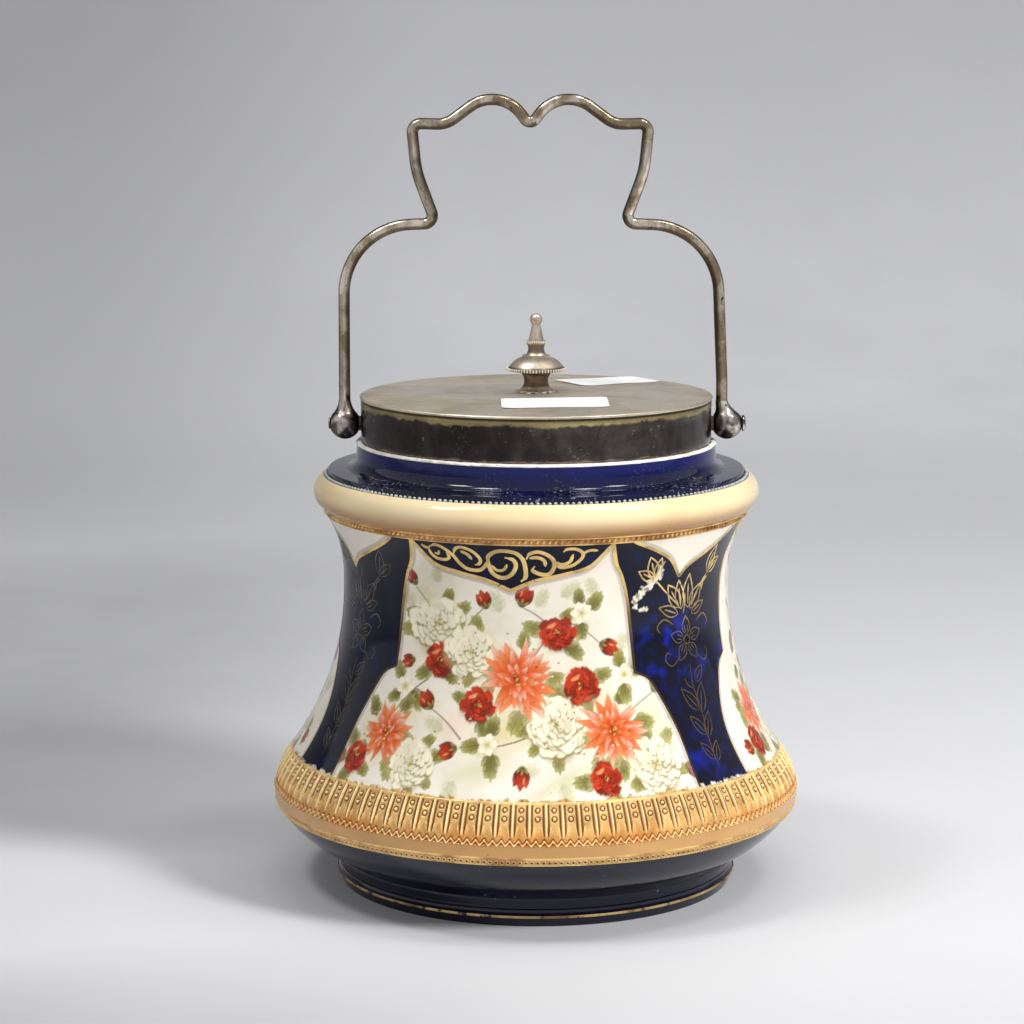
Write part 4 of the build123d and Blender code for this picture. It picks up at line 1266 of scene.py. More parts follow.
class BISCUITJAR_OT_glaze_rings(bpy.types.Operator):
    """Lay the glazed rings: cobalt neck and underside, cream roll, tan band and the grounds of the bead rows"""

    bl_idname = "biscuit_jar.glaze_rings"
    bl_label = "Glazed rings"

    def execute(self, context):
        dark, tan_colour = glaze().cobalt, glaze().tan
        under = scaled(dark, 0.8), scaled(dark, 1.8)
        look = {"pool_scale": 60.0, "pinholes": 0.3, "patchy": 0.6, "pit": (0.3, 0.3, 0.32)}
        under = glazed("underside_glaze", *under, roughness=0.09, **look)
        look.update(pool_scale=45.0, pit=(0.2, 0.1, 0.05))
        tan = glazed("tan_glaze", tan_colour, scaled(tan_colour, 0.78), roughness=0.24, **look)
        rust = linear(204, 142, 84), linear(156, 96, 54), linear(88, 46, 26)
        rust = gilding("bead_band_ground", *rust, wear=0.35, scale=420.0, metal=0.3)
        ground = linear(216, 172, 114), linear(178, 130, 80), linear(110, 72, 44)
        ground = gilding("ringlet_ground", *ground, wear=0.1, scale=420.0, metal=0.15)
        for name, line, depth, material in (
            ("neck_glaze", neck_line(), 0.8, self.neck_glaze()),
            ("roll_glaze", through(ROLL_BASE, ROLL_MIDDLE, ROLL_TOP, 36), 0.9, self.roll_glaze()),
            ("tan_band", [(82.51, 26.5), (82.6, 29.9), (82.7, 30.2)], 0.9, tan),
            ("bead_band", [(65.3, 116.25), (65.55, 117.0), (66.0, 118.0), (66.35, 118.5)], 0.8, rust),
            ("ringlet_band", RINGLET_BAND, 0.8, ground),
            ("underside_glaze", underside_line(), 0.8, under),
        ):
            glaze_ring(name, line, depth, material)
        return {"FINISHED"}

    def neck_glaze(self):
        """Deep cobalt, bluer up the neck, with pale dust lying on the shoulder."""
        finish = Finish("cobalt_glaze")
        fired = finish.effect(firing_group(), pool_scale=34.0, pinhole_amount=0.2)
        colour = blend(times(fired["Pools"], 0.5), scaled(glaze().cobalt, 0.9), scaled(glaze().cobalt_light, 0.18))
        upper = finish.level(131.0, 137.5)
        colour = blend(times(upper, 0.85), colour, scaled(glaze().cobalt_light, 0.3))
        speckle = between(noise(finish.spot, 1100.0, 2.0), 0.6, 0.66)
        shoulder = finish.level(130.6, 132.6, 1.0, 0.1)
        drift = times(between(noise(finish.spot, 55.0, 3.0), 0.4, 0.62), shoulder)
        dust = times(speckle, times(drift, 0.75))
        colour = blend(dust, colour, linear(150, 154, 170))
        finish.set(base_color=colour, roughness=between(dust, 0, 1, 0.06, 0.5))
        finish.shader.inputs["Specular IOR Level"].default_value = 0.42
        finish.bump(fired["Height"], 0.0001, 0.25)
        return finish.material

    def roll_glaze(self):
        """Cream glaze in slow warm patches, browner towards the roll's underside as painted shade."""
        finish = Finish("cream_glaze")
        fired = finish.effect(firing_group(), pool_scale=26.0, pinhole_amount=0.22)
        colour = blend(times(fired["Pools"], 0.6), glaze().cream, glaze().cream_warm)
        # Painted shade: brown towards the roll's underside, with a ragged edge from the pools.
        painted_shade_height = plus(finish.height, times(fired["Pools"], -0.0008))
        colour = blend(between(painted_shade_height, 119.3 * MM, 125.0 * MM), linear(176, 132, 82), colour)
        colour = blend(times(fired["Pinholes"], 0.85), colour, linear(120, 92, 60))
        finish.set(base_color=colour, roughness=between(fired["Dust"], 0, 1, 0.13, 0.38))
        finish.bump(fired["Height"], 0.00012, 0.35)
        return finish.material


PRINT_CELL, PRINT_RADIUS, FIRST_SEED = 0.3, 70, 7
TILE_DEPTH, TILE_BACK = 0.9, (8, 12)


class BISCUITJAR_OT_printed_wall(bpy.types.Operator):
    """Make the waisted wall in six tiles, with its flower print and its cobalt pilasters"""

    bl_idname = "biscuit_jar.printed_wall"
    bl_label = "Printed wall"

    def execute(self, context):
        material = painted_glaze()
        rows = int((BAND - BELT_TOP) / PRINT_CELL) + 1
        heights = np.linspace(BELT_TOP, BAND, rows)
        for number, (centre, half_width) in enumerate(panels()):
            for first, last, label in ((centre - half_width, centre, "a"), (centre, centre + half_width, "b")):
                count = int(radians(half_width) * PRINT_RADIUS / PRINT_CELL) + 1
                degrees = np.linspace(first, last, count)
                printed = Print(np.radians(degrees - centre), heights, FIRST_SEED + number)
                paint_garland(printed)
                cover = cobalt_cover(degrees, heights)
                smear, crumbs, grime = chipped(degrees, heights)
                # Painted shadow: a purple-grey band along the ivory side of every cobalt edge, beside the gilt lines.
                gilt_shadow = np.clip(cobalt_cover(degrees, heights, 1.55) - cover, 0, 1)[..., None]
                printed.colour = printed.colour * (1 - 0.5 * gilt_shadow) + GILT_SHADOW * 0.5 * gilt_shadow
                mark = np.maximum(smear, crumbs)[..., None]
                grime = np.clip((grime[..., None] - 0.5) / 0.25, 0, 1) * 0.75
                chalk = np.where(cover[..., None] > 0.5, CHALK, GILT_CRUMB) * (1 - grime) + BROWN * 1.6 * grime
                printed.colour = printed.colour * (1 - mark) + chalk * mark
                cover = cover * (1 - mark[..., 0])
                name = f"wall_tile_{number + 1}{label}"
                mesh = self.tile(name, np.radians(degrees), heights, material)
                colours = np.ones((len(mesh.vertices), 4), np.float32)
                colours[: rows * count, :3] = np.clip(printed.colour, 0, 1).reshape(-1, 3)
                mesh.attributes.new("print", "FLOAT_COLOR", "POINT").data.foreach_set("color", colours.ravel())
                covers = np.zeros(len(mesh.vertices), np.float32)
                covers[: rows * count] = cover.ravel()
                mesh.attributes.new("cobalt", "FLOAT", "POINT").data.foreach_set("value", covers)
                place(name, mesh, *POTTERY)
        return {"FINISHED"}

    def tile(self, name, angles, heights, material):
        """A closed tile of wall, fine outside and coarse inside."""
        outer = on_wall(angles[None, :], heights[:, None]).reshape(-1, 3)
        back_heights = np.linspace(heights[0], heights[-1], TILE_BACK[0])
        back_angles = np.linspace(angles[0], angles[-1], TILE_BACK[1])
        turn, rise = np.meshgrid(back_angles, back_heights)
        radii = wall_radius(rise) - TILE_DEPTH
        inner = np.stack([radii * np.sin(turn), -radii * np.cos(turn), rise], -1).reshape(-1, 3)
        near = np.arange(len(outer)).reshape(len(heights), len(angles))
        far = len(outer) + np.arange(len(inner)).reshape(TILE_BACK)
        faces = grid_faces(near) + grid_faces(far, flip=True)
        faces.append(near[0].tolist()[::-1] + far[0].tolist())
        faces.append(near[-1].tolist() + far[-1].tolist()[::-1])
        faces.append(near[:, 0].tolist() + far[:, 0].tolist()[::-1])
        faces.append(near[:, -1].tolist()[::-1] + far[:, -1].tolist())
        return make_mesh(name, np.vstack([outer, inner]), faces, material, METAL_CREASE)


SCROLL_TOP, SCROLL_RADIUS = 115.4, 63.0
FLOWER_MIDDLE = (0.5, 83.4)


class BISCUITJAR_OT_gilding(bpy.types.Operator):
    """Draw the gilding: outlines of the pilasters, scrolls over the panels, flower sprigs and fine rings"""

    bl_idname = "biscuit_jar.gilding"
    bl_label = "Gilding"

    def execute(self, context):
        gold, bronze, cobalt = gilt().gold, gilt().bronze, glaze().cobalt
        outline = gold, scaled(gold, 0.55), linear(70, 52, 34)
        look = {"wear": 0.4, "scale": 480.0, "roughness": 0.36}
        outline_gold = gilding("outline_gilding", *outline, fade=(82, 112, 0.98), **look)
        look = {"wear": 0.15, "scale": 600.0, "roughness": 0.28}
        scroll_gold = gilding("scroll_gilding", gold, scaled(gold, 0.62), cobalt, **look)
        sprig = gold, scaled(gold, 0.5), cobalt
        sprig_gold = gilding("sprig_gilding", *sprig, wear=0.35, scale=700.0, roughness=0.36, fade=(84, 102, 0.88))
        faint = linear(112, 106, 98), linear(74, 70, 68), cobalt
        faint_gold = gilding("faint_gilding", *faint, wear=0.5, scale=700.0, roughness=0.4, fade=(70, 90, 0.6))
        ring_gold = gilding("ring_gilding", gold, linear(176, 132, 82), linear(96, 62, 36), wear=0.15, scale=420.0)
        foot_gold = gilding("foot_gilding", scaled(gold, 0.7), bronze, cobalt, wear=0.62, scale=260.0, roughness=0.36)
        self.outlines(outline_gold)
        self.scrolls(scroll_gold)
        self.sprigs((faint_gold, sprig_gold, sprig_gold))
        for name, radius, height, width, stand, lean, material in (
            ("ring_over_beads", 66.4, 118.35, 0.55, 0.22, 0.35, ring_gold),
            ("ring_under_beads", 65.42, 116.42, 0.5, 0.2, 0.3, ring_gold),
            ("ring_over_ringlets", 82.52, 26.5, 0.5, 0.12, 0.0, ring_gold),
            ("ring_under_ringlets", 81.5, 24.3, 0.5, 0.2, -0.45, ring_gold),
            ("foot_ring", 63.0, 3.1, 0.75, 0.1, 0.1, foot_gold),
        ):
            build(name, *turned(hoop(radius, height, width, stand, lean), 256), material, *POTTERY)
        return {"FINISHED"}

    def outlines(self, material):
        """The gilt lines along both edges of each pilaster, its cusp and each lambrequin."""
        width = gilt().outline_width / MM
        for number, centre in enumerate(PILASTERS):
            points, faces = [], []
            for side in (-1, 1):
                path = pilaster_edge(side)
                flow = width * (1 + 0.12 * np.sin(np.linspace(0, 19, len(path)) + number + side))
                flow = flow * np.interp(path[:, 1], (70, 112), (0.58, 1.0))
                ribbon(path + (centre, 0), flow, 0.09, points, faces)
            for line in (CUSP_LEFT, CUSP_RIGHT):
                path = smooth_path(line)
                ribbon(path + (centre, 0), width * 0.8, 0.08, points, faces)
            build(f"pilaster_outline_{number + 1}", points, faces, material, *POTTERY, crease=SOFT_CREASE)
        points, faces = [], []
        for centre, half_width in panels():
            ribbon(lambrequin_edge(half_width) + (centre, 0), width * 0.95, 0.085, points, faces)
        build("lambrequin_outlines", points, faces, material, *POTTERY, crease=SOFT_CREASE)

    def scrolls(self, material):
        """Running scrolls of leaf curls that fill each lambrequin."""
        width = gilt().scroll_width / MM
        points, faces = [], []
        for centre, half_width in panels():
            stretch = (half_width - PILASTER_EDGE[0][0]) / LAMBREQUIN_HALF_WIDTH / radians(1) / SCROLL_RADIUS
            for line, full in SCROLLS:
                path = smooth_path(line, 8)
                t = np.linspace(0, 1, len(path))
                taper = np.clip(np.minimum(t, 1 - t) * 9, 0.45, 1)
                ribbon(path * (stretch, 1) + (centre, SCROLL_TOP), width * full * taper, 0.085, points, faces)
        build("lambrequin_scrolls", points, faces, material, *POTTERY, crease=SOFT_CREASE)

    def sprigs(self, materials):
        """Flower sprigs in line on each pilaster, bolder near the top."""
        width = gilt().sprig_width / MM
        for number, centre in enumerate(PILASTERS):
            points, faces = [], []
            for line in sprig_lines():
                path = np.array(line, float)
                radius = wall_radius(path[:, 1])
                path = np.c_[np.degrees(path[:, 0] / radius), path[:, 1]]
                t = np.linspace(0, 1, len(path))
                taper = np.clip(np.minimum(t, 1 - t) * 8, 0.5, 1)
                bold = np.interp(path[:, 1], (84, 96), (1.0, 1.6 if number else 0.9))
                ribbon(path + (centre, 0), width * taper * bold, 0.05, points, faces, fine=True)
            build(f"pilaster_sprigs_{number + 1}", points, faces, materials[number], *POTTERY, crease=SOFT_CREASE)


SCROLLS = (
    (((-6.6, -5.4), (-6.3, -3.0), (-4.2, -1.4), (-1.2, -1.0), (2.0, -1.7), (3.9, -3.7), (4.6, -6.4), (4.6, -9.2),
      (3.2, -10.6)), 1.15),
    (((-6.1, -3.2), (-6.3, -6.0), (-4.9, -8.6), (-2.0, -9.6), (0.6, -8.2), (1.8, -5.7), (1.0, -3.8),
      (-1.4, -3.1)), 1.1),
    (((-5.6, -5.6), (-4.0, -7.2), (-1.9, -7.0), (-0.8, -5.2)), 0.8),
    (((-24.6, -1.0), (-22.2, -0.1), (-19.4, -1.3), (-17.1, -3.3), (-15.4, -5.6), (-13.0, -7.2), (-9.4, -7.4),
      (-7.2, -5.6), (-6.4, -3.4)), 1.0),
    (((-17.0, -2.8), (-15.9, -0.8), (-13.6, -0.4), (-10.8, -1.6), (-8.9, -3.8), (-9.2, -5.3), (-10.6, -5.8)), 0.95),
    (((-14.6, -1.6), (-12.7, -2.5), (-11.4, -4.1)), 0.95),
    (((-24.8, -1.2), (-24.4, -3.1), (-22.6, -4.5), (-20.0, -4.7), (-18.6, -3.9), (-19.2, -2.2)), 0.9),
    (((-23.1, -2.8), (-21.9, -3.0), (-21.5, -1.9)), 0.7),
    (((-27.0, -0.4), (-25.8, -1.2), (-24.4, -1.3)), 0.85),
    (((4.9, -3.5), (6.0, -1.8), (8.5, -1.2), (11.4, -2.4), (13.1, -4.4), (12.9, -6.8), (11.4, -8.4), (8.9, -8.2),
      (6.8, -7.1), (7.4, -5.7)), 1.1),
    (((5.8, -3.2), (8.1, -3.0), (10.1, -3.9), (10.6, -5.8)), 1.0),
    (((13.2, -4.4), (15.5, -5.3), (17.8, -4.4), (18.6, -2.0)), 0.95),
    (((13.2, -5.4), (15.5, -6.2), (18.8, -5.6), (21.3, -3.4), (21.3, -1.6), (19.2, -0.4), (16.8, -0.4),
      (15.7, -1.2)), 0.95),
    (((21.5, -1.9), (23.4, -1.0), (25.9, -1.1)), 0.85),
)


def leaf_outline(root, tip, fullness):
    """A pointed leaf drawn as one line from its root round its tip and back."""
    root, tip = np.array(root, float), np.array(tip, float)
    way = tip - root
    side = np.array((-way[1], way[0])) * fullness
    t = np.linspace(0, 1, 14)
    bow = np.sin(pi * t**0.8)
    out = root + way * t[:, None] + side * bow[:, None] * 0.5
    back = (root + way * t[:, None] - side * bow[:, None] * 0.5)[::-1]
    return np.vstack([out, back[1:]])


def sprig_lines():
    """The lines of one pilaster's sprigs, in millimetres from its middle line and height."""
    lines = []
    for root, tip, fullness in (
        ((-2.0, 93.5), (-7.4, 101.0), 0.5), ((-1.6, 93.0), (-3.0, 102.0), 0.42), ((1.6, 93.0), (1.8, 103.4), 0.45),
        ((2.6, 92.6), (8.4, 99.6), 0.5), ((3.4, 91.0), (9.8, 94.0), 0.42), ((-3.0, 91.6), (-10.8, 94.4), 0.4),
        ((-12.8, 104.0), (-16.4, 110.6), 0.5), ((-12.6, 103.6), (-12.0, 110.0), 0.42),
        ((-13.2, 103.4), (-19.4, 106.4), 0.42),
        ((11.4, 102.6), (14.6, 110.8), 0.45), ((11.9, 102.4), (18.0, 106.6), 0.4), ((1.8, 70.6), (6.2, 75.0), 0.5),
        ((0.8, 62.4), (-5.2, 69.4), 0.4), ((1.2, 61.4), (4.4, 70.2), 0.42), ((0.4, 55.4), (-4.4, 61.4), 0.42),
        ((0.6, 54.6), (4.4, 61.6), 0.42), ((0.2, 48.4), (-3.6, 53.6), 0.45), ((0.4, 47.8), (3.6, 53.2), 0.45),
    ):
        lines.append(leaf_outline(root, tip, fullness))
        root, tip = np.array(root), np.array(tip)
        lines.append(root + (tip - root) * np.linspace(0.12, 0.72, 6)[:, None])
    def beside_middle(reach, turn):
        return FLOWER_MIDDLE[0] + reach * np.cos(turn), FLOWER_MIDDLE[1] + reach * np.sin(turn)

    for k in range(5):
        turn = pi / 2 + 2 * pi * k / 5
        lines.append(leaf_outline(beside_middle(1.5, turn), beside_middle(7.2, turn), 0.62))
        for off in (-0.22, 0.22):
            lines.append(np.linspace(beside_middle(2.2, turn + off), beside_middle(4.4, turn + off * 0.7), 5))
    lines.append(np.stack(beside_middle(1.3, np.linspace(0, 2 * pi, 20)), -1))
    for curl in (
        ((0.6, 76.0), (0.2, 70.0), (1.4, 63.0), (0.6, 55.0), (0.2, 46.0)), ((-0.6, 91.5), (0.2, 94.6), (0.2, 97.6)),
        ((-2.6, 94.0), (-7.6, 98.4), (-12.8, 103.2)), ((2.8, 93.4), (7.4, 98.6), (11.4, 102.2)),
        ((-3.4, 78.8), (-7.0, 76.4), (-9.4, 78.2), (-8.6, 80.4), (-7.0, 79.8)),
        ((4.6, 78.6), (8.0, 76.2), (10.2, 78.0), (9.4, 80.2)),
        ((-5.0, 88.6), (-8.8, 90.6), (-11.6, 88.6), (-10.6, 86.6)),
        ((5.8, 88.4), (9.4, 90.2), (11.8, 88.0), (10.8, 86.2)),
        ((0.4, 68.6), (-2.0, 70.2), (-2.8, 72.4)), ((12.0, 101.4), (9.6, 99.8), (8.8, 97.4)),
    ):
        lines.append(smooth_path(curl, 7))
    return lines


RIB_WIDTH, RIB_HEIGHT, RIB_COLUMNS, RIB_WELD = 5.1, 13.4, 20, 0.000004
BELT_LINE = [(82.65, 30.02), *arc((83.0, 30.3), (77.4, 41.8), -28.0, 40), (77.0, BELT_TOP)]


def bump(distance, width):
    """A soft ridge: 1 at no distance, fading over a width."""
    return np.exp(-((distance / width) ** 2))


def ramp(value, start, width):
    """0 before the start, 1 a width after it; a negative width runs down instead."""
    return np.clip((value - start) / width, 0, 1)


def rib_relief(across, up):
    """How far one rib of the belt stands, in millimetres, over its width (0 to 1) and height (0 to 1)."""
    from_bar = np.minimum(across, 1 - across) * RIB_WIDTH
    body = ramp(up, 0.2, 0.05) * ramp(up, 0.965, -0.03)
    relief = 0.5 * (bump(from_bar, 0.34) * body) - 0.28 * (bump(from_bar - 0.74, 0.3) * body)
    middle = (across - 0.5) * RIB_WIDTH
    for level, size in ((0.83, 0.5), (0.63, 0.52)):
        away = np.hypot(middle, (up - level) * RIB_HEIGHT)
        relief += 0.5 * np.sqrt(np.clip(1 - (away / size) ** 2, 0, 1)) - 0.26 * bump(away - size * 1.3, 0.24)
    lean = ramp(up, 0.2, 0.25)
    stroke = bump(from_bar - 0.75 - 0.75 * lean, 0.2) * ramp(up, 0.2, 0.04) * ramp(up, 0.46, -0.06)
    second = bump(from_bar - 1.35 - 0.6 * lean, 0.16) * ramp(up, 0.24, 0.04) * ramp(up, 0.4, -0.06)
    relief += 0.42 * stroke + 0.2 * second
    wave = np.abs((across * 2 + 0.25) % 1 - 0.5) * 2
    off = (up - 0.03 - 0.12 * wave) * RIB_HEIGHT
    relief += (0.5 * bump(off, 0.26) - 0.24 * bump(np.abs(off) - 0.62, 0.24)) * (up < 0.21)
    lip = bump((up - 0.972) * RIB_HEIGHT, 0.22) + 0.7 * bump((up - 0.008) * RIB_HEIGHT, 0.2)
    return relief + 0.25 * lip


class BISCUITJAR_OT_belt(bpy.types.Operator):
    """Mould the ribbed belt: one rib with its dots and leaves, repeated round the belly"""

    bl_idname = "biscuit_jar.belt"
    bl_label = "Moulded belt"

    def execute(self, context):
        finish = Finish("moulded_belt_gilding")
        raised = finish.own("raised", "Fac")
        rubbed = finish.effect(rubbed_group(), wear=0.25, scale=600.0)
        low = finish.level(31.0, 38.5, 1.0, 0.0)
        patch = between(noise(finish.spot, 55.0, 3.0), 0.4, 0.66)
        warm = times(low, plus(times(patch, 0.45), 0.5), clamp=True)
        ground = blend(warm, gilt().ochre, linear(222, 138, 40))
        worn = between(noise(finish.spot, 130.0, 4.0, 0.65), 0.46, 0.66, 0.0, 0.45)
        ground = blend(worn, ground, linear(184, 126, 60))
        # Painted shade and highlight: the relief's hollows are darkened to deep brown and its ridges lightened to
        # pale gold.
        hollow = between(raised, 0.1, 0.4, 1.0, 0.0)
        colour = blend(times(hollow, 0.95), ground, gilt().belt_hollow_shade)
        colour = blend(between(raised, 0.55, 0.85), colour, linear(255, 238, 186))
        colour = blend(times(rubbed["Bare"], 0.6), colour, linear(112, 58, 26))
        finish.set(base_color=colour, metallic=times(rubbed["Thin"], 0.5))
        finish.set(roughness=between(rubbed["Thin"], 0, 1, 0.2, 0.34))
        finish.bump(rubbed["Height"], 0.00005, 0.5)
        mesh = grow("moulded_belt", rib_belt_tree(), self.rib(), Count=glaze().rib_count, Material=finish.material)
        place("moulded_belt", mesh, *POTTERY)
        return {"FINISHED"}

    def rib(self):
        """One rib of the belt: its relief outside and a plain back, open only where it meets its neighbours."""
        pitch = 2 * pi / glaze().rib_count
        line = np.array(BELT_LINE)
        way = np.gradient(line, axis=0)
        way /= np.linalg.norm(way, axis=1)[:, None]
        normal = np.c_[way[:, 1], -way[:, 0]]
        travel = np.r_[0, np.cumsum(np.linalg.norm(np.diff(line, axis=0), axis=1))]
        up = travel / travel[-1]
        half_way = len(line) // 2
        back = [line[k] - normal[k] * depth for k, depth in ((-1, 1.6), (half_way, 1.9), (0, 1.5))]
        points, raised = [], []
        for k in range(RIB_COLUMNS + 1):
            relief = rib_relief(np.full(len(up), k / RIB_COLUMNS), up)
            set_in = np.clip(0.52 - relief, 0.0, 0.8) * 1.2 * np.clip(np.minimum(up, 1 - up) * 14, 0, 1)
            loop = np.vstack([line - normal * set_in[:, None], *back])
            turn = pitch * (k / RIB_COLUMNS - 0.5)
            points.append(np.c_[loop[:, 0] * sin(turn), -loop[:, 0] * cos(turn), loop[:, 1]])
            raised.append(np.r_[np.clip((relief + 0.25) / 0.8, 0, 1), 0.3, 0.3, 0.3])
        rows = len(points[0])
        index = np.arange((RIB_COLUMNS + 1) * rows).reshape(RIB_COLUMNS + 1, rows)
        after = np.roll(index, -1, axis=1)
        faces = np.stack([index[:-1], index[1:], after[1:], after[:-1]], -1).reshape(-1, 4).tolist()
        mesh = bpy.data.meshes.new("belt_rib")
        mesh.from_pydata((np.vstack(points) * MM).tolist(), [], faces)
        raised = np.concatenate(raised).astype(np.float32)
        mesh.attributes.new("raised", "FLOAT", "POINT").data.foreach_set("value", raised)
        return mesh


class BISCUITJAR_OT_bead_rows(bpy.types.Operator):
    """Set the rows of small beads: pearls, slanted beads over the panels and ringlets under the tan band"""

    bl_idname = "biscuit_jar.bead_rows"
    bl_label = "Bead rows"

    def execute(self, context):
        pearl = glaze().pearl, scaled(glaze().pearl, 0.55)
        look = {"pool_scale": 300.0, "pinholes": 0.3, "patchy": 0.8, "pit": (0.08, 0.09, 0.12)}
        pearl = glazed("pearl_enamel", *pearl, roughness=0.2, **look)
        gold = gilding("bead_gilding", gilt().gold, linear(150, 104, 60), linear(70, 34, 22), wear=0.3, scale=500.0)
        bright = linear(244, 208, 142), linear(206, 158, 98), linear(120, 80, 50)
        bright = gilding("ringlet_gilding", *bright, wear=0.1, scale=500.0, metal=0.4)
        dark = linear(92, 58, 38), linear(64, 40, 28), linear(40, 26, 20)
        dark = gilding("ringlet_hollows", *dark, wear=0.3, scale=500.0, metal=0.2)
        for name, count, radius, height, size, material, slant, lean, uneven in (
            ("pearls", glaze().pearl_count, 65.62, 128.62, (1.25, 1.15, 1.15), pearl, 0.0, 0.4, 0.12),
            ("slanted_beads", glaze().slant_count, 65.9, 117.4, (0.86, 1.45, 0.95), gold, 0.55, -0.4, 0.15),
            ("ringlet_beads", glaze().ringlet_count, 82.0, 25.2, (0.74, 0.74, 0.4), dark, 0.0, 0.5, 0.08),
        ):
            bead_row(name, count, radius, height, size, material, "jar", "glazed_earthenware", slant, lean, uneven)
        mesh = grow(
            "ringlets", ringlet_row_tree(), Count=glaze().ringlet_count, Radius=82.1 * MM, Height=25.18 * MM,
            Ring_Size=0.64 * MM, Wire_Size=0.19 * MM, Lean=0.5, Material=bright,
        )
        place("ringlets", mesh, "jar", "glazed_earthenware")
        return {"FINISHED"}


PIVOT = (59.55, 143.797)
BALL = [(4.9 * sin(t), -4.9 * cos(t)) for t in np.linspace(0.12, 2.4, 26)]
BALL += [(2.92, 4.2), (2.55, 4.85), (2.24, 5.6), (2.0, 6.4), (1.86, 7.2)]
SHANK = [(0, 53.7), (1.15, 53.7), (1.15, 64.24)]
RIVETS = {
    "right": SHANK + [
        (2.35, 64.24), (2.55, 64.4), (2.55, 64.75), (2.3, 65.05), (1.6, 65.25), (0.8, 65.35), (0, 65.38),
    ],
    "left": SHANK + [(1.7, 64.24), (1.85, 64.34), (1.8, 64.5), (1.2, 64.72), (0, 64.8)],
}


COLLAR_LINE = [
    (54.45, 138.4), (54.6, 138.6), (54.6, 141.0), (54.6, 144.0), (54.6, 147.0), (54.6, 149.6), (54.66, 149.75),
    (54.66, 151.6), (54.5, 151.86), (54.3, 151.897), (53.95, 151.897), (53.8, 151.7), (53.8, 138.6), (53.95, 138.4),
]
PLASTER_LINE = [
    (52.56, 137.84), (55.7, 137.84), (55.95, 138.02), (55.9, 138.4), (55.3, 138.72), (54.7, 138.76),
    (54.64, 138.38), (53.74, 138.38), (53.74, 144.4), (52.56, 144.4),
]
BALL_SIDES = 56
BALL_INNER_FACE, BALL_OUTER_FACE = 55.28, 64.2
SOCKET_FOOT, SOCKET_HEIGHT = 2.0, 5.2


def dents(angles, height):
    """The collar's small dents."""
    waves = 0.035 * np.sin(7 * angles + 1.1) * np.sin(height * 0.7)
    return waves + 0.03 * np.sin(13 * angles + height * 0.4) - 0.06


def lumps(angles, height):
    """How unevenly the plaster was pressed out under the collar."""
    low = np.clip((139.2 - height) / 0.9, 0, 1)
    rough = 0.3 * np.sin(31 * angles) * np.sin(9 * angles + 2) + 0.2 * np.sin(73 * angles + 1)
    rough += 0.12 * np.sin(127 * angles)
    return np.clip(height - 137.9, 0, 0.2) / 0.2 * low * rough


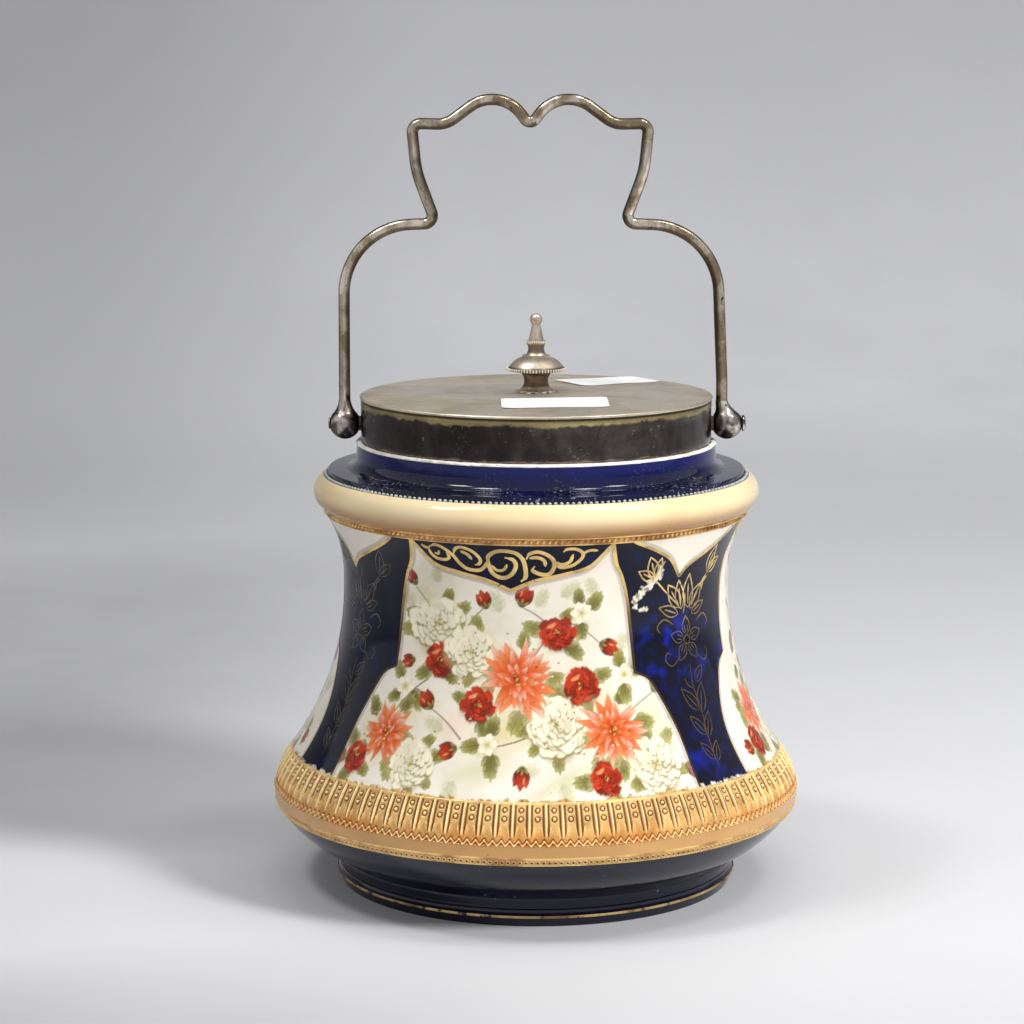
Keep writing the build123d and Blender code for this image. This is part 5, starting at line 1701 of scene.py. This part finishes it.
class BISCUITJAR_OT_mount(bpy.types.Operator):
    """Fit the collar with its worn top, the plaster under it, the seat ring, bosses and pins"""

    bl_idname = "biscuit_jar.mount"
    bl_label = "Collar and plaster"

    def execute(self, context):
        build("collar", *turned(COLLAR_LINE, 256, dents), self.collar_plate(), "jar", "dark_plate", "collar_band")
        build("plaster_bead", *turned(PLASTER_LINE, 384, lumps), self.plaster(), "jar", "cement", "bedding_plaster")
        inner = plated("seat_ring_plate", scaled(plate().brass, 0.8), plate().soot, linear(40, 30, 22), 80.0)
        boss = plated("boss_plate", linear(96, 84, 74), linear(52, 44, 40), linear(26, 20, 18), 80.0)
        # The ball plate, also on the rivets, paints shade on its edges and lower faces.
        ball = linear(244, 236, 222), linear(104, 90, 86), linear(40, 32, 30)
        ball = plated(
            "ball_plate", *ball, cloud_scale=150.0, grain_scale=1100.0, specks=0.6, rough=(0.16, 0.32), smeared=0.3,
            depth=0.0001, painted_edge_shade=(0.3, 0.86, 0.85), under=0.3,
        )
        for node, material in (("pivot_boss_right", boss), ("pivot_boss_left", boss), ("collar_seat_ring", inner)):
            refinish(node, material)
        for side, label, wire_x in ((1, "right", 57.8), (-1, "left", 59.6)):
            mesh = self.bored(self.ball(f"pivot_ball_{label}", side, wire_x, ball), side, wire_x)
            place(f"pivot_ball_{label}", mesh, "handle", "dark_plate", f"handle_ball_{label}")
            points, faces = turned(RIVETS[label], 40)
            points = np.array(points)[:, [2, 0, 1]] * (side, 1, 1) + (0, 0, PIVOT[1])
            rivet, pin = f"pivot_rivet_{label}", f"pivot_pin_{label}"
            build(rivet, points, faces, ball, "jar", "dark_plate", pin, crease=METAL_CREASE)
        return {"FINISHED"}

    def collar_plate(self):
        """Dark, smudged plate, bare along the top and pale with plaster dust at the foot, with a painted shadow just
        under the lid.
        """
        finish = Finish("collar_plate")
        aged = finish.effect(patina_group(), cloud_scale=38.0, grain_scale=1000.0, speck_amount=0.45)
        ragged = plus(finish.height, times(minus(noise(finish.spot, 130.0, 5.0, 0.65), 0.5), 0.0042))
        bare = between(ragged, 149.4 * MM, 150.4 * MM)
        foot = between(ragged, 138.9 * MM, 139.7 * MM, 1.0, 0.0)
        # Painted shadow: a dark band just under the lid's edge.
        under_lid = finish.level(151.0, 151.5)
        smudge = noise(stretch(finish.spot, (1.0, 1.0, 0.6)), 95.0, 5.0, 0.6, 0.8)
        dark = blend(between(smudge, 0.36, 0.74), plate().soot, linear(84, 78, 74))
        dark = blend(times(aged["Cloud"], 0.5), dark, linear(56, 48, 44))
        dust = between(noise(finish.spot, 1700.0, 2.0), 0.62, 0.7)
        dusty = between(noise(finish.spot, 90.0, 3.0), 0.45, 0.7)
        dark = blend(times(times(dust, dusty), 0.7), dark, linear(150, 142, 132))
        brass = blend(aged["Cloud"], plate().brass, scaled(plate().brass, 0.62))
        colour = blend(bare, dark, brass)
        # Foot dust and specks are the plate's own; the dark band under the lid is painted shadow.
        for cover, strength, rgb in (
            (foot, 0.8, (132, 120, 104)), (under_lid, 0.85, (34, 28, 22)), (aged["Specks"], 0.3, (170, 160, 142)),
        ):
            colour = blend(times(cover, strength), colour, linear(*rgb))
        roughness = plus(between(aged["Cloud"], 0, 1, 0.2, 0.36), times(bare, 0.06))
        finish.set(base_color=colour, metallic=0.93, roughness=roughness)
        finish.bump(plus(aged["Height"], smudge), 0.00006, 0.45)
        return finish.material

    def plaster(self):
        """White plaster, cloudy, speckled and rough."""
        finish = Finish("bedding_plaster")
        aged = finish.effect(patina_group(), cloud_scale=160.0, grain_scale=1400.0, speck_amount=0.5)
        colour = blend(aged["Cloud"], linear(252, 250, 244), linear(228, 222, 208))
        colour = blend(times(aged["Specks"], 0.6), colour, linear(130, 110, 84))
        finish.set(base_color=colour, roughness=0.86)
        finish.bump(plus(aged["Height"], noise(finish.spot, 700.0, 3.0)), 0.0002, 0.8)
        return finish.material

    def ball(self, name, side, wire_x, material):
        """A ball of the handle that runs up into the socket for the wire, flat where boss and rivet bear."""
        count = BALL_SIDES
        around = np.linspace(0, 2 * pi, count, endpoint=False)
        points, faces = [], []
        for radius, rise in BALL:
            lean = np.clip((rise - SOCKET_FOOT) / SOCKET_HEIGHT, 0, 1)
            middle = PIVOT[0] + (wire_x - PIVOT[0]) * lean * lean * (3 - 2 * lean)
            x = np.clip(middle + radius * np.cos(around), BALL_INNER_FACE, BALL_OUTER_FACE)
            points += np.c_[x * side, radius * np.sin(around), np.full(count, PIVOT[1] + rise)].tolist()
        for row in range(len(BALL) - 1):
            for k in range(count):
                n = (k + 1) % count
                faces.append((row * count + k, row * count + n, (row + 1) * count + n, (row + 1) * count + k))
        faces += [tuple(range(count))[::-1], tuple(range((len(BALL) - 1) * count, len(BALL) * count))]
        return make_mesh(name, points, faces, material, BALL_CREASE)

    def bored(self, mesh, side, wire_x):
        """The ball with its bore for the rivet and the socket for the wire's end."""
        carrier = bpy.data.objects.new(mesh.name + "_blank", mesh)
        cutters = []
        for radius, length, spot, turn in (
            (1.25, 20.0, (PIVOT[0] * side, 0.0, PIVOT[1]), (0, pi / 2, 0)),
            (1.03, 7.26, (wire_x * side, 0.0, PIVOT[1] + 7.2), (0, 0, 0)),
        ):
            drum = turned([(0, -length / 2), (radius, -length / 2), (radius, length / 2), (0, length / 2)], 32)
            cutter = bpy.data.objects.new("ball_cutter", make_mesh("ball_cutter", *drum, mesh.materials[0], CREASE))
            cutter.location = np.array(spot) * MM
            cutter.rotation_euler = turn
            cutters.append(cutter)
            cut = carrier.modifiers.new("Cut", "BOOLEAN")
            cut.operation, cut.object, cut.solver = "DIFFERENCE", cutter, "EXACT"
        for item in (carrier, *cutters):
            bpy.context.scene.collection.objects.link(item)
        ball = plain_mesh(carrier)
        for item in (carrier, *cutters):
            bpy.data.objects.remove(item)
        ball.set_sharp_from_angle(angle=radians(BALL_CREASE))
        return ball


def refinish(node, material):
    """Gives a CAD node's object its material."""
    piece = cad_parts[node]
    piece.data.materials.clear()
    piece.data.materials.append(material)


class BISCUITJAR_OT_handle(bpy.types.Operator):
    """Finish the swing handle's wire"""

    bl_idname = "biscuit_jar.handle"
    bl_label = "Swing handle"

    def execute(self, context):
        # The wire plate paints shade on its edges and on its lower and inner faces.
        wire = linear(240, 229, 208), linear(146, 128, 104), linear(54, 44, 34)
        wire = plated(
            "wire_plate", *wire, cloud_scale=90.0, specks=0.45, rough=(0.12, 0.24), smeared=0.5, depth=0.00005,
            painted_edge_shade=(0.42, 0.74, 0.88), under=0.88,
        )
        refinish("handle_bail", wire)
        return {"FINISHED"}


LID_RADIUS, LID_CROWN, LID_TOP, LID_THICKNESS, STUD_HOLE = 54.9, 0.95, 153.747, 0.86, 1.56
LID_EDGE = [
    (53.5, 152.86), (53.9, 152.95), (54.35, 152.93), (54.7, 152.78), (54.88, 152.55), (LID_RADIUS, 152.3),
    (54.8, 152.03), (54.6, 151.952),
]


def dome_height(radius):
    """Height of the lid's top at a distance from its middle."""
    reach = (LID_RADIUS**2 + LID_CROWN**2) / (2 * LID_CROWN)
    return LID_TOP - (reach - sqrt(reach**2 - radius**2))


class BISCUITJAR_OT_lid(bpy.types.Operator):
    """Turn the lid with its fine raised edge, and finish the parts under it"""

    bl_idname = "biscuit_jar.lid"
    bl_label = "Lid"

    def execute(self, context):
        finish = Finish("lid_plate")
        aged = finish.effect(patina_group(), cloud_scale=26.0, grain_scale=1100.0, speck_amount=0.35)
        olive = between(noise(finish.spot, 48.0, 4.0, 0.6, 0.5), 0.42, 0.66)
        inputs = {"Vector": finish.spot, "Scale": 420.0, "Distortion": 2.0, "Detail": 2.0}
        waves = put(finish.tree, "ShaderNodeTexWave", inputs, wave_type="RINGS", rings_direction="Z").outputs["Fac"]
        cloud = plus(aged["Cloud"], times(aged["Smears"], 0.35), clamp=True)
        colour = blend(times(cloud, 0.75), plate().silver, linear(204, 190, 166))
        colour = blend(times(olive, 0.4), colour, plate().tarnish)
        colour = blend(times(aged["Specks"], 0.7), colour, linear(84, 72, 54))
        finish.set(base_color=colour, metallic=minus(0.95, times(aged["Specks"], 0.4)))
        finish.set(roughness=between(cloud, 0, 1, 0.34, 0.5))
        finish.bump(plus(aged["Grain"], times(waves, 0.15)), 0.00004, 0.4)
        top = [(r, dome_height(r)) for r in np.linspace(STUD_HOLE, 53.2, 30)]
        under = [(51.9, 151.947)] + [(r, dome_height(r) - LID_THICKNESS) for r in np.linspace(50.5, STUD_HOLE, 8)]
        outline = top + LID_EDGE + under
        build("lid_dome", *turned(outline), finish.material, "lid", "worn_plate", "lid_plate", crease=METAL_CREASE)
        under_plate = plated("under_lid_plate", scaled(plate().silver, 0.7), plate().tarnish, plate().soot, 60.0)
        for node in ("lid_flange", "finial_washer", "finial_nut"):
            refinish(node, under_plate)
        return {"FINISHED"}


def finial_line():
    """The finial's outline from its stud up: foot, waist, beaded rim, dome, ledge, neck, ring, spire and ball."""
    line = [(0, 149.4), (1.5, 149.4), (1.5, 153.797), (5.5, 153.797), (5.72, 153.95), (5.66, 154.25), (5.3, 154.42)]
    line += through((5.3, 154.42), (3.72, 157.2), (5.2, 160.0), 16)[1:]
    line += [(5.6, 160.24), (8.2, 160.3), (8.6, 160.32), (8.84, 160.5), (8.9, 160.85), (8.84, 161.2), (8.66, 161.42)]
    line += [(8.46, 161.42), (8.4, 161.5)] + through((8.4, 161.5), (6.85, 163.35), (4.62, 164.46), 12)[1:]
    line += [(4.36, 164.52), (4.42, 164.8), (4.36, 165.08), (4.1, 165.2), (3.3, 165.22)]
    line += through((3.3, 165.22), (2.48, 167.3), (3.0, 168.8), 12)[1:]
    line += [(3.22, 168.95), (3.28, 169.25), (3.2, 169.55), (2.9, 169.7), (2.36, 169.72), (1.28, 174.86)]
    line += [(1.92 * sin(t), 176.24 - 1.92 * cos(t)) for t in np.linspace(0.78, pi, 16)]
    return line[:-1] + [(0, 178.16)]


# Heights of the finial's hollows, darkened as painted shade: the waist under the rim, the rim between its beads and
# the neck.
FINIAL_SHADED_HOLLOWS = ((155.0, 160.3, 0.92), (159.9, 162.0, 0.8), (165.35, 168.7, 0.7))
SOLDER_LINE = [(5.3, 153.62), (6.6, 153.6), (6.72, 153.78), (6.1, 153.98), (5.72, 154.16), (5.3, 154.2)]


def ragged(angles, height):
    """The solder's crumbs, below its top."""
    crumbs = np.sin(17 * angles) * np.sin(7 * angles + 1) + 0.6 * np.sin(41 * angles + 2) + 0.4 * np.sin(89 * angles)
    return crumbs * 0.34 * (height < 154.1)


class BISCUITJAR_OT_finial(bpy.types.Operator):
    """Turn the finial with its beaded rim and collar, and the crumbs of solder at its foot"""

    bl_idname = "biscuit_jar.finial"
    bl_label = "Finial"

    def execute(self, context):
        finish = Finish("finial_plate")
        aged = finish.effect(patina_group(), cloud_scale=190.0, grain_scale=1300.0, speck_amount=0.35)
        cloud = plus(aged["Cloud"], times(aged["Smears"], 0.6), clamp=True)
        colour = blend(times(cloud, 0.8), linear(226, 216, 198), linear(166, 150, 130))
        # Painted shade in the hollows.
        for low, high, strength in FINIAL_SHADED_HOLLOWS:
            rise = finish.level(low, low + 0.9)
            fall = finish.level(high - 0.5, high, 1.0, 0.0)
            colour = blend(times(times(rise, fall), strength), colour, linear(96, 76, 62))
        colour = blend(aged["Specks"], colour, linear(60, 46, 34))
        finish.set(base_color=colour, metallic=minus(0.96, times(aged["Specks"], 0.5)))
        finish.set(roughness=between(cloud, 0, 1, 0.32, 0.48))
        finish.bump(aged["Height"], 0.00004, 0.5)
        silver = linear(255, 251, 240), linear(232, 222, 196), linear(120, 102, 80)
        silver = plated("finial_bead_plate", *silver, 400.0, 1300.0, specks=0.2, rough=(0.3, 0.45), smeared=0.3)
        outline = turned(finial_line(), 112)
        build("finial_turned", *outline, finish.material, "lid", "silver_plate", "finial", crease=FINIAL_CREASE)
        for name, count, radius, height, size, lean, uneven in (
            ("finial_rim_beads", 60, 9.12, 160.88, (0.62, 1.05, 0.62), 0.1, 0.08),
            ("finial_collar_beads", 34, 3.24, 169.25, (0.46, 0.72, 0.44), 0.0, 0.1),
        ):
            bead_row(name, count, radius, height, size, silver, "lid", "silver_plate", 0.0, lean, uneven)
        solder = turned(SOLDER_LINE, 220, ragged)
        build("finial_solder", *solder, self.solder(), "lid", "silver_plate", crease=SOFT_CREASE)
        return {"FINISHED"}

    def solder(self):
        """Grey solder with pale crumbs."""
        finish = Finish("solder")
        crumbs = between(noise(finish.spot, 900.0, 3.0), 0.42, 0.6)
        colour = blend(crumbs, linear(104, 92, 80), linear(240, 236, 228))
        finish.set(base_color=colour, metallic=0.35, roughness=0.45)
        finish.bump(crumbs, 0.0001, 0.6)
        return finish.material


LABELS = (
    ("front_label", ((-10.9, -19.4), (21.5, -14.6), (21.9, -35.6), (-10.6, -39.0))),
    ("rear_label", ((5.7, 30.9), (31.5, 46.4), (40.4, 32.0), (15.2, 14.3))),
)
LABEL_POINTS, LABEL_LIFT = 17, 0.04


class BISCUITJAR_OT_labels(bpy.types.Operator):
    """Lay two bare paper labels on the lid"""

    bl_idname = "biscuit_jar.labels"
    bl_label = "Paper labels"

    def execute(self, context):
        finish = Finish("label_paper")
        fibres = noise(finish.spot, 1400.0, 4.0, 0.7)
        soil = between(noise(finish.spot, 120.0, 4.0), 0.5, 0.75, 0.0, 0.35)
        finish.set(base_color=blend(soil, linear(234, 234, 233), linear(208, 206, 202)), roughness=0.62)
        finish.bump(fibres, 0.00005, 0.5)
        for name, corners in LABELS:
            points, faces = self.sheet(np.array(corners), plate().label_thickness / MM)
            build(name, points, faces, finish.material, "lid", "worn_plate", crease=METAL_CREASE)
        return {"FINISHED"}

    def sheet(self, corners, thickness):
        """A slightly curled sheet with blunt corners that lies on the lid's dome."""
        count = LABEL_POINTS
        points = []
        for level in (LABEL_LIFT, LABEL_LIFT + thickness):
            for row in np.linspace(0, 1, count):
                for column in np.linspace(0, 1, count):
                    corner = row in (0, 1) and column in (0, 1)
                    u, v = (abs(column - 0.02), abs(row - 0.04)) if corner else (column, row)
                    top, foot = corners[0] * (1 - u) + corners[1] * u, corners[3] * (1 - u) + corners[2] * u
                    x, y = top * (1 - v) + foot * v
                    curl = 0.22 * (abs(u - 0.5) * 2) ** 8 + 0.12 * (abs(v - 0.5) * 2) ** 8 + 0.03 * sin(9 * u + 4 * v)
                    points.append((x, y, dome_height(hypot(x, y)) + level + max(curl, 0)))
        low, high = np.arange(2 * count * count).reshape(2, count, count)
        faces = grid_faces(low, flip=True) + grid_faces(high)
        rim = np.concatenate([low[0, :-1], low[:-1, -1], low[-1, :0:-1], low[:0:-1, 0]])
        ahead, lift = np.roll(rim, -1), count * count
        return points, faces + np.stack([rim, ahead, ahead + lift, rim + lift], -1).tolist()


OPERATORS = (
    BISCUITJAR_OT_stage, BISCUITJAR_OT_clay, BISCUITJAR_OT_glaze_rings, BISCUITJAR_OT_printed_wall,
    BISCUITJAR_OT_gilding, BISCUITJAR_OT_belt, BISCUITJAR_OT_bead_rows, BISCUITJAR_OT_mount,
    BISCUITJAR_OT_handle, BISCUITJAR_OT_lid, BISCUITJAR_OT_finial, BISCUITJAR_OT_labels,
)


class BISCUITJAR_PT_panel(bpy.types.Panel):
    """The jar's settings and the steps that build its looks"""

    bl_idname = "BISCUITJAR_PT_panel"
    bl_label = "Biscuit Jar"
    bl_space_type = "VIEW_3D"
    bl_region_type = "UI"
    bl_category = "Biscuit Jar"

    def draw(self, context):
        for settings in (glaze(), gilt(), plate()):
            box = self.layout.box()
            for name in settings.__annotations__:
                box.prop(settings, name)
        for operator in OPERATORS:
            self.layout.operator(operator.bl_idname)


CLASSES = (JarGlazeSettings, JarGiltSettings, JarPlateSettings, *OPERATORS, BISCUITJAR_PT_panel)


def register():
    for item in CLASSES:
        bpy.utils.register_class(item)
    bpy.types.Scene.biscuit_jar_glaze = PointerProperty(type=JarGlazeSettings)
    bpy.types.Scene.biscuit_jar_gilt = PointerProperty(type=JarGiltSettings)
    bpy.types.Scene.biscuit_jar_plate = PointerProperty(type=JarPlateSettings)


def unregister():
    del bpy.types.Scene.biscuit_jar_plate
    del bpy.types.Scene.biscuit_jar_gilt
    del bpy.types.Scene.biscuit_jar_glaze
    for item in reversed(CLASSES):
        bpy.utils.unregister_class(item)


def main():
    """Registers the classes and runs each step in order."""
    register()
    for operator in OPERATORS:
        group, step = operator.bl_idname.split(".")
        getattr(getattr(bpy.ops, group), step)()


if __name__ == "__main__":
    main()
